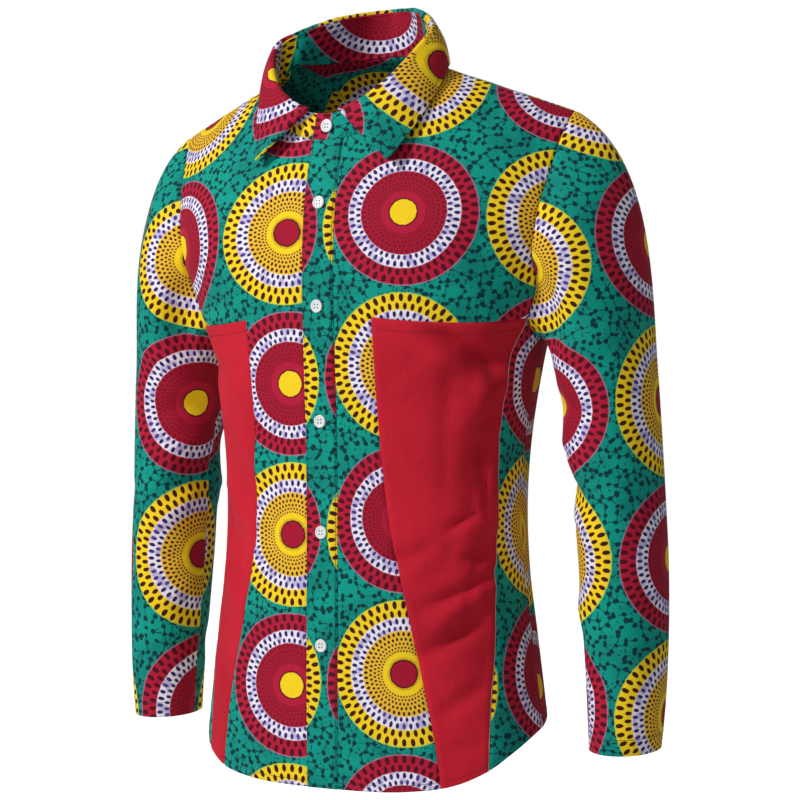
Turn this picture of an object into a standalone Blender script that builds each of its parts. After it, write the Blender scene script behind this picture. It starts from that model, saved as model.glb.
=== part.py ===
"""A long-sleeved, buttoned kaftan shirt in printed cotton with two plain side panels.

It keeps the hollow form of a worn shirt: a slim body, set-in sleeves that hang, and a
collar that stands and folds over. Lengths are metres, +Z is up, the front faces -Y and
the wearer's left is +X. The origin is between the two neck points of the shoulder seams.
"""

import math

import bmesh
import bpy
import numpy as np
from mathutils import Matrix, Vector

# Cloth, measured through the wall
CLOTH = 0.0012
PLACKET_CLOTH = 0.0016
COLLAR_CLOTH = 0.0016
SEAM_GAP = 0.0003

# Body sizes
NECK_HALF_WIDTH = 0.085
NECK_POINT_HEIGHT = 0.005
SHOULDER_POINT_X = 0.215
SHOULDER_DROP = 0.372
SHOULDER_LINE_Y = -0.005
NECK_LINE_Y = -0.035
FRONT_ROLL = 0.18
FRONT_SLOPE = 1.25
BACK_ROLL = 0.13
FRONT_NECK_DEPTH = 0.073
BACK_NECK_HEIGHT = 0.030
BACK_NECK_RISE = 0.047
SECTION_POWER = 2.25
PLACKET_HALF_WIDTH = 0.0165
UNDERLAP_EDGE = 0.0130
UNDERLAP_DEPTH = 0.0021
PANEL_TOP = -0.238

# Buttons
BUTTON_RADIUS = 0.0063
BUTTON_HEIGHT = 0.0026
BUTTON_HOLE_RADIUS = 0.0008
BUTTON_HOLE_SPREAD = 0.0022
BUTTON_HEIGHTS = (-0.129, -0.2265, -0.335, -0.440, -0.547)
STAND_BUTTON_HEIGHT = -0.055

# Numbers of cloth squares
LOW_ROWS = 17
OPENING_ROWS = 6
NECK_ROWS = 4
UP_ROWS = OPENING_ROWS + NECK_ROWS
PRINT_COLUMNS = 5
PANEL_COLUMNS = 6
SIDE_COLUMNS = 2
FRONT_COLUMNS = PRINT_COLUMNS + PANEL_COLUMNS
BACK_NECK_COLUMNS = 8
CAP_ROWS = 7
ARM_ROWS = 15
STAND_ROWS = 2
LEAF_ROWS = 4

# Body sections: height, half width, front depth, back depth
BODY = (
    (-0.72, 0.183, 0.106, 0.094),
    (-0.66, 0.181, 0.107, 0.095),
    (-0.60, 0.174, 0.108, 0.095),
    (-0.54, 0.166, 0.108, 0.094),
    (-0.48, 0.158, 0.108, 0.093),
    (-0.42, 0.155, 0.108, 0.094),
    (-0.36, 0.158, 0.109, 0.098),
    (-0.30, 0.167, 0.112, 0.103),
    (-0.25, 0.178, 0.115, 0.109),
    (-0.20, 0.198, 0.117, 0.114),
    (-0.15, 0.219, 0.115, 0.118),
    (-0.10, 0.226, 0.109, 0.119),
    (-0.05, 0.228, 0.101, 0.116),
    (0.06, 0.228, 0.093, 0.110),
)

# Side seam: height, degrees round from the centre front
SIDE_SEAM = (
    (-0.72, 54.0),
    (-0.66, 56.0),
    (-0.60, 60.0),
    (-0.55, 65.0),
    (-0.50, 69.0),
    (-0.44, 73.0),
    (-0.36, 73.0),
    (-0.30, 72.0),
    (-0.24, 77.0),
)

# Hem: degrees round from the centre front, height
HEM = (
    (-20.0, -0.682),
    (0.0, -0.682),
    (25.0, -0.680),
    (42.0, -0.673),
    (56.0, -0.660),
    (66.0, -0.648),
    (78.0, -0.636),
    (92.0, -0.626),
    (106.0, -0.618),
    (122.0, -0.624),
    (150.0, -0.654),
    (180.0, -0.670),
)

# Armhole on the front, then on the back: height, half width
FRONT_ARMHOLE = ((-0.215, 0.1865), (-0.17, 0.1925), (-0.14, 0.198), (-0.10, 0.205), (-0.07, 0.2095))
BACK_ARMHOLE = ((-0.215, 0.1865), (-0.17, 0.190), (-0.14, 0.194), (-0.10, 0.200), (-0.07, 0.2065))
# Its rounded bottom before and behind the lowest point: degrees round, height
UNDERARM = (92.0, -0.2555)
ARMHOLE_BEFORE = ((84.0, -0.2510),)
ARMHOLE_BEHIND = ((100.0, -0.2480),)

# Inner edge of each plain panel: height, distance from the centre front
LEFT_PANEL_EDGE = (
    (-0.72, 0.118),
    (-0.655, 0.113),
    (-0.572, 0.098),
    (-0.505, 0.083),
    (-0.443, 0.070),
    (-0.371, 0.061),
    (-0.327, 0.058),
    (-0.240, 0.055),
)
RIGHT_PANEL_EDGE = (
    (-0.72, 0.129),
    (-0.655, 0.124),
    (-0.602, 0.116),
    (-0.520, 0.096),
    (-0.450, 0.082),
    (-0.390, 0.079),
    (-0.300, 0.083),
    (-0.240, 0.0865),
)
SHOULDER_SHARE_OF_PRINT = 0.42

# Arm sections: height, centre x, centre y, half width, half depth
ARM = (
    (-0.645, 0.2575, 0.0145, 0.0325, 0.0375),
    (-0.600, 0.2585, 0.0155, 0.0355, 0.0405),
    (-0.540, 0.2575, 0.0175, 0.0385, 0.0440),
    (-0.470, 0.2545, 0.0185, 0.0410, 0.0470),
    (-0.410, 0.2510, 0.0185, 0.0415, 0.0480),
    (-0.350, 0.2455, 0.0165, 0.0440, 0.0505),
    (-0.300, 0.2400, 0.0150, 0.0465, 0.0535),
)
BICEPS_HEIGHT = -0.300
CUFF_HEIGHT = -0.641
CUFF_TILT = 0.003

# Collar from the centre front (0) to the centre back (1):
# station, fold x, y, z, leaf edge x, y, z
COLLAR = (
    (0.00, 0.0000, -0.0965, -0.0400, 0.0640, -0.1115, -0.0935),
    (0.07, 0.0150, -0.0955, -0.0385, 0.0715, -0.1110, -0.0905),
    (0.21, 0.0400, -0.0925, -0.0280, 0.0830, -0.0920, -0.0670),
    (0.32, 0.0605, -0.0850, -0.0105, 0.0915, -0.0780, -0.0460),
    (0.42, 0.0755, -0.0700, 0.0140, 0.0980, -0.0610, -0.0220),
    (0.54, 0.0815, -0.0430, 0.0420, 0.0985, -0.0380, 0.0040),
    (0.62, 0.0680, -0.0240, 0.0540, 0.0865, -0.0140, 0.0120),
    (0.75, 0.0450, 0.0000, 0.0670, 0.0640, 0.0150, 0.0235),
    (0.88, 0.0220, 0.0240, 0.0745, 0.0350, 0.0430, 0.0285),
    (1.00, 0.0000, 0.0370, 0.0775, 0.0000, 0.0590, 0.0270),
)
FOLD_RADIUS = 0.0028
LEAF_BELLY = 0.003

# Folds on the body: degrees round and height of both ends, half width, depth
# A minus depth is a trough. The wearer's left is positive.
BODY_FOLDS = (
    (82.0, -0.262, 40.0, -0.300, 0.016, -0.0050),
    (76.0, -0.285, 46.0, -0.345, 0.015, 0.0045),
    (74.0, -0.372, 52.0, -0.405, 0.013, -0.0058),
    (72.0, -0.395, 48.0, -0.450, 0.014, 0.0057),
    (72.0, -0.440, 34.0, -0.478, 0.013, -0.0050),
    (68.0, -0.480, 34.0, -0.535, 0.013, 0.0045),
    (66.0, -0.505, 40.0, -0.545, 0.011, -0.0035),
    (-80.0, -0.262, -44.0, -0.305, 0.016, -0.0045),
    (-60.0, -0.380, -38.0, -0.425, 0.013, 0.0035),
    (-58.0, -0.430, -34.0, -0.462, 0.013, -0.0045),
    (-58.0, -0.470, -34.0, -0.520, 0.013, 0.0040),
    (-40.0, -0.345, -22.0, -0.395, 0.016, 0.0035),
    (112.0, -0.285, 144.0, -0.335, 0.016, -0.0050),
    (120.0, -0.395, 160.0, -0.420, 0.014, -0.0055),
    (122.0, -0.430, 166.0, -0.455, 0.014, 0.0055),
    (120.0, -0.470, 156.0, -0.480, 0.014, -0.0045),
    (-112.0, -0.290, -142.0, -0.345, 0.016, -0.0050),
    (-118.0, -0.405, -154.0, -0.425, 0.014, -0.0060),
    (-120.0, -0.440, -162.0, -0.462, 0.014, 0.0055),
    (-118.0, -0.485, -150.0, -0.500, 0.014, -0.0045),
    (172.0, -0.300, 168.0, -0.400, 0.022, 0.0040),
)
BODY_METRES_PER_DEGREE = 0.0026

# Folds on a sleeve: degrees round from the outer line towards the front, height, as above
ARM_FOLDS = (
    (150.0, -0.285, 60.0, -0.255, 0.013, 0.0040),
    (170.0, -0.315, 80.0, -0.330, 0.013, -0.0040),
    (175.0, -0.345, 95.0, -0.385, 0.013, 0.0040),
    (190.0, -0.375, 100.0, -0.425, 0.013, -0.0040),
    (160.0, -0.415, 70.0, -0.455, 0.014, 0.0035),
    (200.0, -0.350, 285.0, -0.395, 0.014, -0.0040),
    (195.0, -0.395, 280.0, -0.425, 0.014, 0.0040),
    (180.0, -0.500, 110.0, -0.530, 0.014, 0.0030),
    (200.0, -0.560, 270.0, -0.585, 0.014, -0.0025),
    (60.0, -0.560, 130.0, -0.590, 0.013, -0.0025),
    (210.0, -0.280, 290.0, -0.230, 0.016, -0.0045),
)
ARM_METRES_PER_DEGREE = 0.00078

# Corner at which the faces of a piece start, where it isn't the first
FIRST_CORNER = {"collar_stand": 2, "red_panel_left": 3, "red_panel_right": 1}

PRINT_GREEN = (0.0, 0.30, 0.25, 1.0)
PLAIN_RED = (0.60, 0.012, 0.030, 1.0)
SHELL_WHITE = (0.85, 0.85, 0.83, 1.0)


# Reading tables and moving along curves


def smooth_value(table, column, at):
    """A column of a table at the places `at`, on a smooth curve through its rows."""
    rows = np.array(table, float)
    place, value = rows[:, 0], rows[:, column]
    slope = np.gradient(value, place)
    at = np.clip(at, place[0], place[-1])
    i = np.clip(np.searchsorted(place, at) - 1, 0, len(place) - 2)
    step = place[i + 1] - place[i]
    t = (at - place[i]) / step
    start = (1 + 2 * t) * (1 - t) ** 2 * value[i] + t * (1 - t) ** 2 * step * slope[i]
    end = t * t * (3 - 2 * t) * value[i + 1] + t * t * (t - 1) * step * slope[i + 1]
    return start + end


def spread_along(line, count, points=None):
    """`count` + 1 rows of a line, at even distances along it or along its `points`."""
    line = np.array(line, float)
    measured = line if points is None else points
    gone = np.concatenate([[0.0], np.cumsum(np.linalg.norm(np.diff(measured, axis=0), axis=1))])
    even = np.linspace(0.0, gone[-1], count + 1)
    return np.stack([np.interp(even, gone, line[:, k]) for k in range(line.shape[1])], axis=1)


def unit(vectors):
    return vectors / np.maximum(np.linalg.norm(vectors, axis=-1, keepdims=True), 1e-12)


def mirrored(points):
    return points * np.array([-1.0, 1.0, 1.0])


def fold_height(folds, metres_per_degree, degrees, height):
    """How far the folds lift the cloth at these places. Each fades out at its two ends."""
    lift = np.zeros(np.shape(height))
    for degree_a, height_a, degree_b, height_b, half_width, depth in folds:
        along = np.array([(degree_b - degree_a) * metres_per_degree, height_b - height_a])
        length = np.hypot(*along)
        across = ((degrees - degree_a + 180.0) % 360.0 - 180.0) * metres_per_degree
        rise = height - height_a
        gone = (across * along[0] + rise * along[1]) / length**2
        away = (across * along[1] - rise * along[0]) / length
        fade = np.clip(np.minimum(gone + 0.12, 1.12 - gone) / 0.45, 0.0, 1.0)
        lift += depth * np.exp(-((away / half_width) ** 2)) * fade * fade * (3 - 2 * fade)
    return lift


# The body's surface


def ridge_height(x, back):
    """Height of the shoulder line, and of its continuation over the neck."""
    out = np.abs(x) - NECK_HALF_WIDTH
    inside = np.clip(np.abs(x) / NECK_HALF_WIDTH, 0.0, 1.0)
    over_neck = BACK_NECK_RISE * (1 - inside**2) if back else -SHOULDER_DROP * np.minimum(out, 0.0)
    return NECK_POINT_HEIGHT - SHOULDER_DROP * np.maximum(out, 0.0) + over_neck


def ridge_y(x):
    share = (SHOULDER_POINT_X - np.abs(x)) / (SHOULDER_POINT_X - NECK_HALF_WIDTH)
    return SHOULDER_LINE_Y + (NECK_LINE_Y - SHOULDER_LINE_Y) * share


def signed_power(value):
    return np.sign(value) * np.abs(value) ** (2 / SECTION_POWER)


def body_x(degrees, height):
    return smooth_value(BODY, 1, height) * signed_power(np.sin(np.radians(degrees)))


def degrees_at(x, height, back):
    """Degrees round from the centre front where the section at a height has this x."""
    share = np.clip(np.abs(x) / smooth_value(BODY, 1, height), 0.0, 1.0)
    turned = np.degrees(np.arcsin(share ** (SECTION_POWER / 2)))
    side = np.where(np.asarray(x) < 0, -1.0, 1.0)
    return side * (180.0 - turned) if back else side * turned


def fall_to_drop(fall, back):
    """Drop below the shoulder line after `fall` metres over the shoulder's curve."""
    roll = BACK_ROLL if back else FRONT_ROLL
    turned = np.clip(fall / roll, 0.0, math.pi / 2)
    return roll * (1 - np.cos(turned)) + np.maximum(fall - roll * math.pi / 2, 0.0)


def drop_to_fall(drop, back):
    roll = BACK_ROLL if back else FRONT_ROLL
    turned = np.arccos(np.clip(1 - drop / roll, 0.0, 1.0))
    return roll * turned + np.maximum(drop - roll, 0.0)


def fall_of(degrees, height, back):
    drop = ridge_height(body_x(degrees, height), back) - height
    return drop_to_fall(np.maximum(drop, 0.0), back)


def height_of(degrees, fall, back):
    height = -fall_to_drop(fall, back)
    for _ in range(40):
        height = ridge_height(body_x(degrees, height), back) - fall_to_drop(fall, back)
    return height


def body_point(degrees, height, back):
    """Points on the body's smooth surface, with no folds."""
    x = body_x(degrees, height)
    turn = signed_power(np.cos(np.radians(degrees)))
    depth = np.where(turn > 0, -smooth_value(BODY, 2, height), smooth_value(BODY, 3, height))
    flat_y = depth * np.abs(turn)
    roll = BACK_ROLL if back else FRONT_ROLL
    drop = np.clip(ridge_height(x, back) - height, 0.0, roll)
    share = np.sqrt(np.maximum(1 - (1 - drop / roll) ** 2, 0.0)) ** (1.0 if back else FRONT_SLOPE)
    y = ridge_y(x) + (flat_y - ridge_y(x)) * share
    return np.stack([x, y, height + 0.0 * x], axis=-1)


# Cutting lines of the body, each a list of (degrees, height)


def hem_height(degrees):
    return smooth_value(HEM, 1, np.abs(degrees))


def side_seam_line():
    bottom = -0.657
    for _ in range(8):
        bottom = hem_height(smooth_value(SIDE_SEAM, 1, bottom))
    height = np.linspace(bottom, PANEL_TOP, 60)
    return np.stack([smooth_value(SIDE_SEAM, 1, height), height], axis=1)


def shoulder_line(shares, back):
    x = NECK_HALF_WIDTH + (SHOULDER_POINT_X - NECK_HALF_WIDTH) * np.asarray(shares, float)
    height = ridge_height(x, back)
    return np.stack([degrees_at(x, height, back), height], axis=1)


def shoulder_shares():
    """Places of the front's columns along the shoulder seam."""
    inner = np.linspace(0.0, SHOULDER_SHARE_OF_PRINT, PRINT_COLUMNS + 1)
    outer = np.linspace(SHOULDER_SHARE_OF_PRINT, 1.0, PANEL_COLUMNS + 1)
    return np.concatenate([inner, outer[1:]])


def curve_through(points):
    """A smooth line through hand-placed (degrees, height) points."""
    points = np.array(points, float)
    apart = np.linalg.norm(np.diff(points * [BODY_METRES_PER_DEGREE, 1.0], axis=0), axis=1)
    at = np.concatenate([[0.0], np.cumsum(apart)])
    table = np.column_stack([at, points])
    fine = np.linspace(0.0, at[-1], 300)
    return np.stack([smooth_value(table, 1, fine), smooth_value(table, 2, fine)], axis=1)


def armhole_line(back):
    """To the shoulder point, before from the top of the side seam, behind from the underarm."""
    table = BACK_ARMHOLE if back else FRONT_ARMHOLE
    side = [(degrees_at(x, height, back), height) for height, x in table]
    start = [UNDERARM, *ARMHOLE_BEHIND] if back else [tuple(side_seam_line()[-1])]
    line = curve_through([*start, *side, tuple(shoulder_line([1.0], back)[0])])
    return spread_along(line, UP_ROWS, body_point(line[:, 0], line[:, 1], back))


def armhole_bottom():
    """From the top of the side seam back to the underarm point."""
    line = curve_through([tuple(side_seam_line()[-1]), *ARMHOLE_BEFORE, UNDERARM])
    return spread_along(line, SIDE_COLUMNS, body_point(line[:, 0], line[:, 1], True))


def underarm_line():
    """Straight down from the underarm point to the hem."""
    height = np.linspace(hem_height(UNDERARM[0]), UNDERARM[1], LOW_ROWS + 1)
    return np.stack([np.full(LOW_ROWS + 1, UNDERARM[0]), height], axis=1)


def front_neck_height(x):
    return NECK_POINT_HEIGHT - FRONT_NECK_DEPTH * np.sqrt(1 - (x / NECK_HALF_WIDTH) ** 2)


def front_neck_line():
    """From beside the placket up to the neck point."""
    turn = np.linspace(math.asin(PLACKET_HALF_WIDTH / NECK_HALF_WIDTH), math.pi / 2, 80)
    x = NECK_HALF_WIDTH * np.sin(turn)
    height = front_neck_height(x)
    line = np.stack([degrees_at(x, height, False), height], axis=1)
    return spread_along(line, NECK_ROWS, body_point(line[:, 0], line[:, 1], False))


def back_neck_line():
    """From the wearer's left neck point round the back to the right one."""
    turn = np.linspace(math.pi / 2, -math.pi / 2, 161)
    x = NECK_HALF_WIDTH * np.sin(turn)
    height = NECK_POINT_HEIGHT + (BACK_NECK_HEIGHT - NECK_POINT_HEIGHT) * np.cos(turn)
    degrees = degrees_at(np.abs(x), height, True)
    line = np.stack([np.where(x < 0, 360.0 - degrees, degrees), height], axis=1)
    return spread_along(line, BACK_NECK_COLUMNS, body_point(line[:, 0], line[:, 1], True))


def upright_line(x):
    """A straight line up the centre front at a distance from the middle, hem to neck."""
    bottom = hem_height(degrees_at(PLACKET_HALF_WIDTH, -0.67, False))
    low = np.linspace(bottom, PANEL_TOP, LOW_ROWS + 1)
    high = np.linspace(PANEL_TOP, front_neck_height(x), OPENING_ROWS + 1)
    height = np.concatenate([low, high[1:]])
    return np.stack([degrees_at(x, height, False), height], axis=1)


def strip_cut(places):
    """Grid of a strip up the centre front, with a column at each place."""
    return np.stack([upright_line(x) for x in places], axis=1)


# Filling the cloth between four cutting lines


def with_fall(line, back):
    line = np.array(line, float)
    return np.stack([line[:, 0], fall_of(line[:, 0], line[:, 1], back)], axis=1)


def with_height(grid, back):
    return np.stack([grid[..., 0], height_of(grid[..., 0], grid[..., 1], back)], axis=-1)


def fill_between(first, last, bottom, top, back):
    """A grid of (degrees, height) between two upright lines, a bottom and a top line."""
    first, last, bottom, top = (with_fall(line, back) for line in (first, last, bottom, top))
    u = np.linspace(0.0, 1.0, len(bottom))[None, :, None]
    v = np.linspace(0.0, 1.0, len(first))[:, None, None]
    between = (1 - u) * first[:, None] + u * last[:, None]
    across = (1 - v) * bottom[None] + v * top[None]
    corners = (1 - u) * (1 - v) * first[0] + u * (1 - v) * last[0]
    corners = corners + (1 - u) * v * first[-1] + u * v * last[-1]
    return with_height(between + across - corners, back)


def hem_line(first, last, count):
    degrees = np.linspace(first, last, count + 1)
    folded = np.where(degrees > 180.0, 360.0 - degrees, degrees)
    return np.stack([degrees, hem_height(folded)], axis=1)


def panel_edge(table):
    """The plain panel's inner edge, carried on up to the shoulder seam."""
    bottom = -0.66
    for _ in range(8):
        bottom = hem_height(degrees_at(smooth_value(table, 1, bottom), bottom, False))
    height = np.linspace(bottom, PANEL_TOP, LOW_ROWS + 1)
    low = np.stack([degrees_at(smooth_value(table, 1, height), height, False), height], axis=1)
    start = with_fall(low[-1:], False)[0]
    end = with_fall(shoulder_line([SHOULDER_SHARE_OF_PRINT], False), False)[0]
    return np.concatenate([low, with_height(np.linspace(start, end, UP_ROWS + 1), False)[1:]])


def front_cut(table):
    """Grid of one front, for the wearer's left. Column 0 is beside the placket."""
    inner = np.concatenate([upright_line(PLACKET_HALF_WIDTH), front_neck_line()[1:]])
    outer = np.concatenate([spread_along(side_seam_line(), LOW_ROWS), armhole_line(False)[1:]])
    middle = panel_edge(table)
    top = shoulder_line(shoulder_shares(), False)
    low_print = hem_line(inner[0, 0], middle[0, 0], PRINT_COLUMNS)
    low_plain = hem_line(middle[0, 0], outer[0, 0], PANEL_COLUMNS)
    printed = fill_between(inner, middle, low_print, top[: PRINT_COLUMNS + 1], False)
    plain = fill_between(middle, outer, low_plain, top[PRINT_COLUMNS:], False)
    return np.concatenate([printed, plain[:, 1:]], axis=1)


def side_cut():
    """Grid of the back's strip beneath the left arm, from the side seam to the underarm."""
    seam, under = spread_along(side_seam_line(), LOW_ROWS), underarm_line()
    return fill_between(seam, under, hem_line(seam[0, 0], under[0, 0], SIDE_COLUMNS), armhole_bottom(), True)


def back_cut():
    """Grid of the rest of the back, from beneath the left arm round to the right one."""
    left = np.concatenate([underarm_line(), armhole_line(True)[1:]])
    right = np.stack([360.0 - left[:, 0], left[:, 1]], axis=1)
    shoulder = shoulder_line(shoulder_shares(), True)[::-1]
    far_shoulder = np.stack([360.0 - shoulder[:, 0], shoulder[:, 1]], axis=1)[::-1]
    top = np.concatenate([shoulder, back_neck_line()[1:-1], far_shoulder])
    bottom = hem_line(left[0, 0], right[0, 0], len(top) - 1)
    return fill_between(left, right, bottom, top, True)


# The sleeve


def arm_ring(height, turn):
    """Points on the arm's section at a height. Turn 0 is the outer line, 90 degrees the front."""
    centre_x, centre_y, half_width, half_depth = (smooth_value(ARM, k, height) for k in (1, 2, 3, 4))
    x = centre_x + half_width * np.cos(turn)
    y = centre_y - half_depth * np.sin(turn)
    return np.stack([x, y, height + 0.0 * x], axis=-1)


def sleeve_rows(armhole):
    """Rows from the armhole over the cap and down the arm, and the turn of each column."""
    closed = np.concatenate([armhole, armhole[:1]])
    gone = np.concatenate([[0.0], np.cumsum(np.linalg.norm(np.diff(closed, axis=0), axis=1))])
    turn = 2 * math.pi * gone[:-1] / gone[-1]
    biceps = arm_ring(np.full(len(turn), BICEPS_HEIGHT), turn)
    reach = np.linalg.norm(biceps - armhole, axis=1)[:, None]
    top = np.cos(turn)
    leave = unit(np.stack([np.ones(len(turn)), -0.35 * np.sin(turn), -0.35 - 0.2 * top], axis=1))
    hang = unit(np.array([0.09, 0.01, -1.0]))
    rows = []
    for t in np.linspace(0.0, 1.0, CAP_ROWS + 1):
        start = (1 + 2 * t) * (1 - t) ** 2 * armhole + t * (1 - t) ** 2 * reach * leave
        end = t * t * (3 - 2 * t) * biceps + t * t * (t - 1) * reach * hang
        rows.append(start + end)
    for share in np.linspace(0.0, 1.0, ARM_ROWS + 1)[1:]:
        level = BICEPS_HEIGHT + (CUFF_HEIGHT - BICEPS_HEIGHT) * share
        rows.append(arm_ring(level - CUFF_TILT * share * np.sin(turn), turn))
    return np.array(rows), np.degrees(turn)


def folded_sleeve(armhole):
    rows, turn = sleeve_rows(armhole)
    around = np.roll(rows, -1, axis=1) - np.roll(rows, 1, axis=1)
    normal = unit(np.cross(around, np.gradient(rows, axis=0)))
    outward = rows - rows.mean(axis=1, keepdims=True)
    normal = normal * np.sign((normal * outward)[-5:].sum())
    lift = fold_height(ARM_FOLDS, ARM_METRES_PER_DEGREE, turn[None, :] + 0.0 * rows[..., 2], rows[..., 2])
    ease = np.clip((np.arange(len(rows)) - 1) / 4.0, 0.0, 1.0)[:, None]
    rows = rows + normal * (lift * ease)[..., None]
    return np.concatenate([rows, rows[:, :1]], axis=1)


# Sewing the grids into one set of shared points


class Garment:
    """Points that the pieces share at their seams, and the faces of each piece."""

    def __init__(self):
        self.points = np.zeros((0, 3))
        self.pieces = {}

    def add(self, piece, points, hub, row=0):
        """Add a grid. The faces in one `row` turn away from `hub`, the rest follow them."""
        flat = points.reshape(-1, 3)
        ids = np.empty(len(flat), int)
        for i, point in enumerate(flat):
            near = np.linalg.norm(self.points - point, axis=1)
            if len(near) and near.min() < 2e-5:
                ids[i] = near.argmin()
            else:
                ids[i] = len(self.points)
                self.points = np.vstack([self.points, point])
        grid = ids.reshape(points.shape[:2])
        faces = np.stack([grid[:-1, :-1], grid[:-1, 1:], grid[1:, 1:], grid[1:, :-1]], axis=-1)
        corner = self.points[faces[row]]
        facing = np.cross(corner[:, 2] - corner[:, 0], corner[:, 3] - corner[:, 1])
        if (facing * (corner.mean(axis=1) - hub) * [1.0, 1.0, 0.0]).sum() < 0:
            faces = faces[..., ::-1]
        self.pieces[piece] = faces
        return grid

    def normals(self):
        """A normal at each point, longer where faces meet at an angle, so walls keep thickness."""
        faces = np.concatenate([piece.reshape(-1, 4) for piece in self.pieces.values()])
        corner = self.points[faces]
        face = unit(np.cross(corner[:, 2] - corner[:, 0], corner[:, 3] - corner[:, 1]))
        total = np.zeros_like(self.points)
        for k in range(4):
            np.add.at(total, faces[:, k], face)
        normal = unit(total)
        lean = np.ones(len(self.points))
        for k in range(4):
            np.minimum.at(lean, faces[:, k], (normal[faces[:, k]] * face).sum(axis=1))
        return normal / np.clip(lean, 0.72, 1.0)[:, None]


def shirt_collection():
    name = "kaftan_shirt"
    if name not in bpy.data.collections:
        bpy.context.scene.collection.children.link(bpy.data.collections.new(name))
    return bpy.data.collections[name]


def cutter_collection():
    name = "cutters"
    if name not in bpy.data.collections:
        bpy.context.scene.collection.children.link(bpy.data.collections.new(name))
    return bpy.data.collections[name]


def place(name, data, material):
    piece = bpy.data.objects.new(name, data)
    shirt_collection().objects.link(piece)
    data.materials.append(material)
    return piece


def cloth_wall(name, garment, normals, faces, thickness, material):
    """A closed wall on a piece's faces, with its edges drawn in by half of the seam gap."""
    used, index = np.unique(faces, return_inverse=True)
    faces = index.reshape(-1, 4)
    points, normals = garment.points[used].copy(), normals[used]
    sides = np.concatenate([faces[:, [k, (k + 1) % 4]] for k in range(4)])
    _, first, count = np.unique(np.sort(sides, axis=1), axis=0, return_index=True, return_counts=True)
    rim = sides[first[count == 1]]
    inward = np.zeros_like(points)
    edge = points[rim[:, 1]] - points[rim[:, 0]]
    inside = unit(np.cross(unit(normals[rim[:, 0]] + normals[rim[:, 1]]), edge))
    np.add.at(inward, rim[:, 0], inside)
    np.add.at(inward, rim[:, 1], inside)
    squared = (inward**2).sum(axis=1, keepdims=True)
    points += np.where(squared > 0.1, inward / np.maximum(squared, 0.1) * SEAM_GAP, 0.0)
    outer = points + normals * thickness / 2
    inner = points - normals * thickness / 2
    mesh = bmesh.new()
    made = [mesh.verts.new(point) for point in np.concatenate([outer, inner])]
    walls = []
    for face in faces:
        walls.append([made[i] for i in face])
        walls.append([made[len(points) + i] for i in face[::-1]])
    for a, b in rim:
        outer_a, outer_b, inner_a, inner_b = made[a], made[b], made[len(points) + a], made[len(points) + b]
        if used[a] < used[b]:
            walls.append([outer_b, outer_a, inner_b])
            walls.append([outer_a, inner_a, inner_b])
        else:
            walls.append([outer_b, outer_a, inner_a])
            walls.append([outer_b, inner_a, inner_b])
    start = FIRST_CORNER.get(name, 0)
    for corners in walls:
        mesh.faces.new(corners[start:] + corners[:start])
    data = bpy.data.meshes.new(name)
    mesh.to_mesh(data)
    mesh.free()
    data.shade_smooth()
    data.set_sharp_from_angle(angle=math.radians(40))
    return place(name, data, material)


def plain_material(name, colour, roughness):
    material = bpy.data.materials.new(name)
    material.use_nodes = True
    shader = material.node_tree.nodes["Principled BSDF"]
    shader.inputs["Base Color"].default_value = colour
    shader.inputs["Roughness"].default_value = roughness
    shader.inputs["Metallic"].default_value = 0.0
    return material


# Collar


def collar_line(station, side, first_column):
    """A line of the collar table. Before station 0 it carries on across the middle."""
    x = smooth_value(COLLAR, first_column, np.abs(station)) * np.where(station < 0, -side, side)
    y = smooth_value(COLLAR, first_column + 1, np.abs(station))
    z = smooth_value(COLLAR, first_column + 2, np.abs(station))
    return np.stack([x, y, z], axis=-1)


def collar_stations(seam):
    """How far each neck seam point is from the centre front (0) to the centre back (1)."""
    gone = np.concatenate([[0.0], np.cumsum(np.linalg.norm(np.diff(seam, axis=0), axis=1))])
    back = gone[np.argmax(seam[:, 1])]
    front = np.interp(0.0, seam[:6, 0], gone[:6])
    station = 1.0 - np.abs(gone - back) / (back - front)
    return station, np.where(gone <= back, 1.0, -1.0)


def outward(line):
    """Level directions away from the neck, square to a collar line."""
    along = np.gradient(line, axis=0)
    away = np.stack([-along[:, 1], along[:, 0], np.zeros(len(line))], axis=1)
    facing = ((line - np.array([0.0, -0.03, 0.0])) * away).sum(axis=1, keepdims=True)
    return unit(away * np.sign(facing))


def leaf_rows(top, station, side):
    """The leaf: up from the stand's top, over the fold, down to its outer edge."""
    away = outward(top)
    up = np.array([0.0, 0.0, 1.0])
    centre = top + away * FOLD_RADIUS
    rows = [top]
    for turned in (0.8, 1.6, 2.4):
        rows.append(centre + FOLD_RADIUS * (up * math.sin(turned) - away * math.cos(turned)))
    edge = collar_line(station, side, 4)
    lean = unit(edge - rows[-1])
    out = unit(np.cross(lean, np.cross(away, lean)))
    start = rows[-1]
    for share in np.linspace(0.0, 1.0, LEAF_ROWS + 1)[1:]:
        rows.append(start + (edge - start) * share + out * math.sin(math.pi * share) * LEAF_BELLY)
    return np.array(rows)


# Buttons


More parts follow.
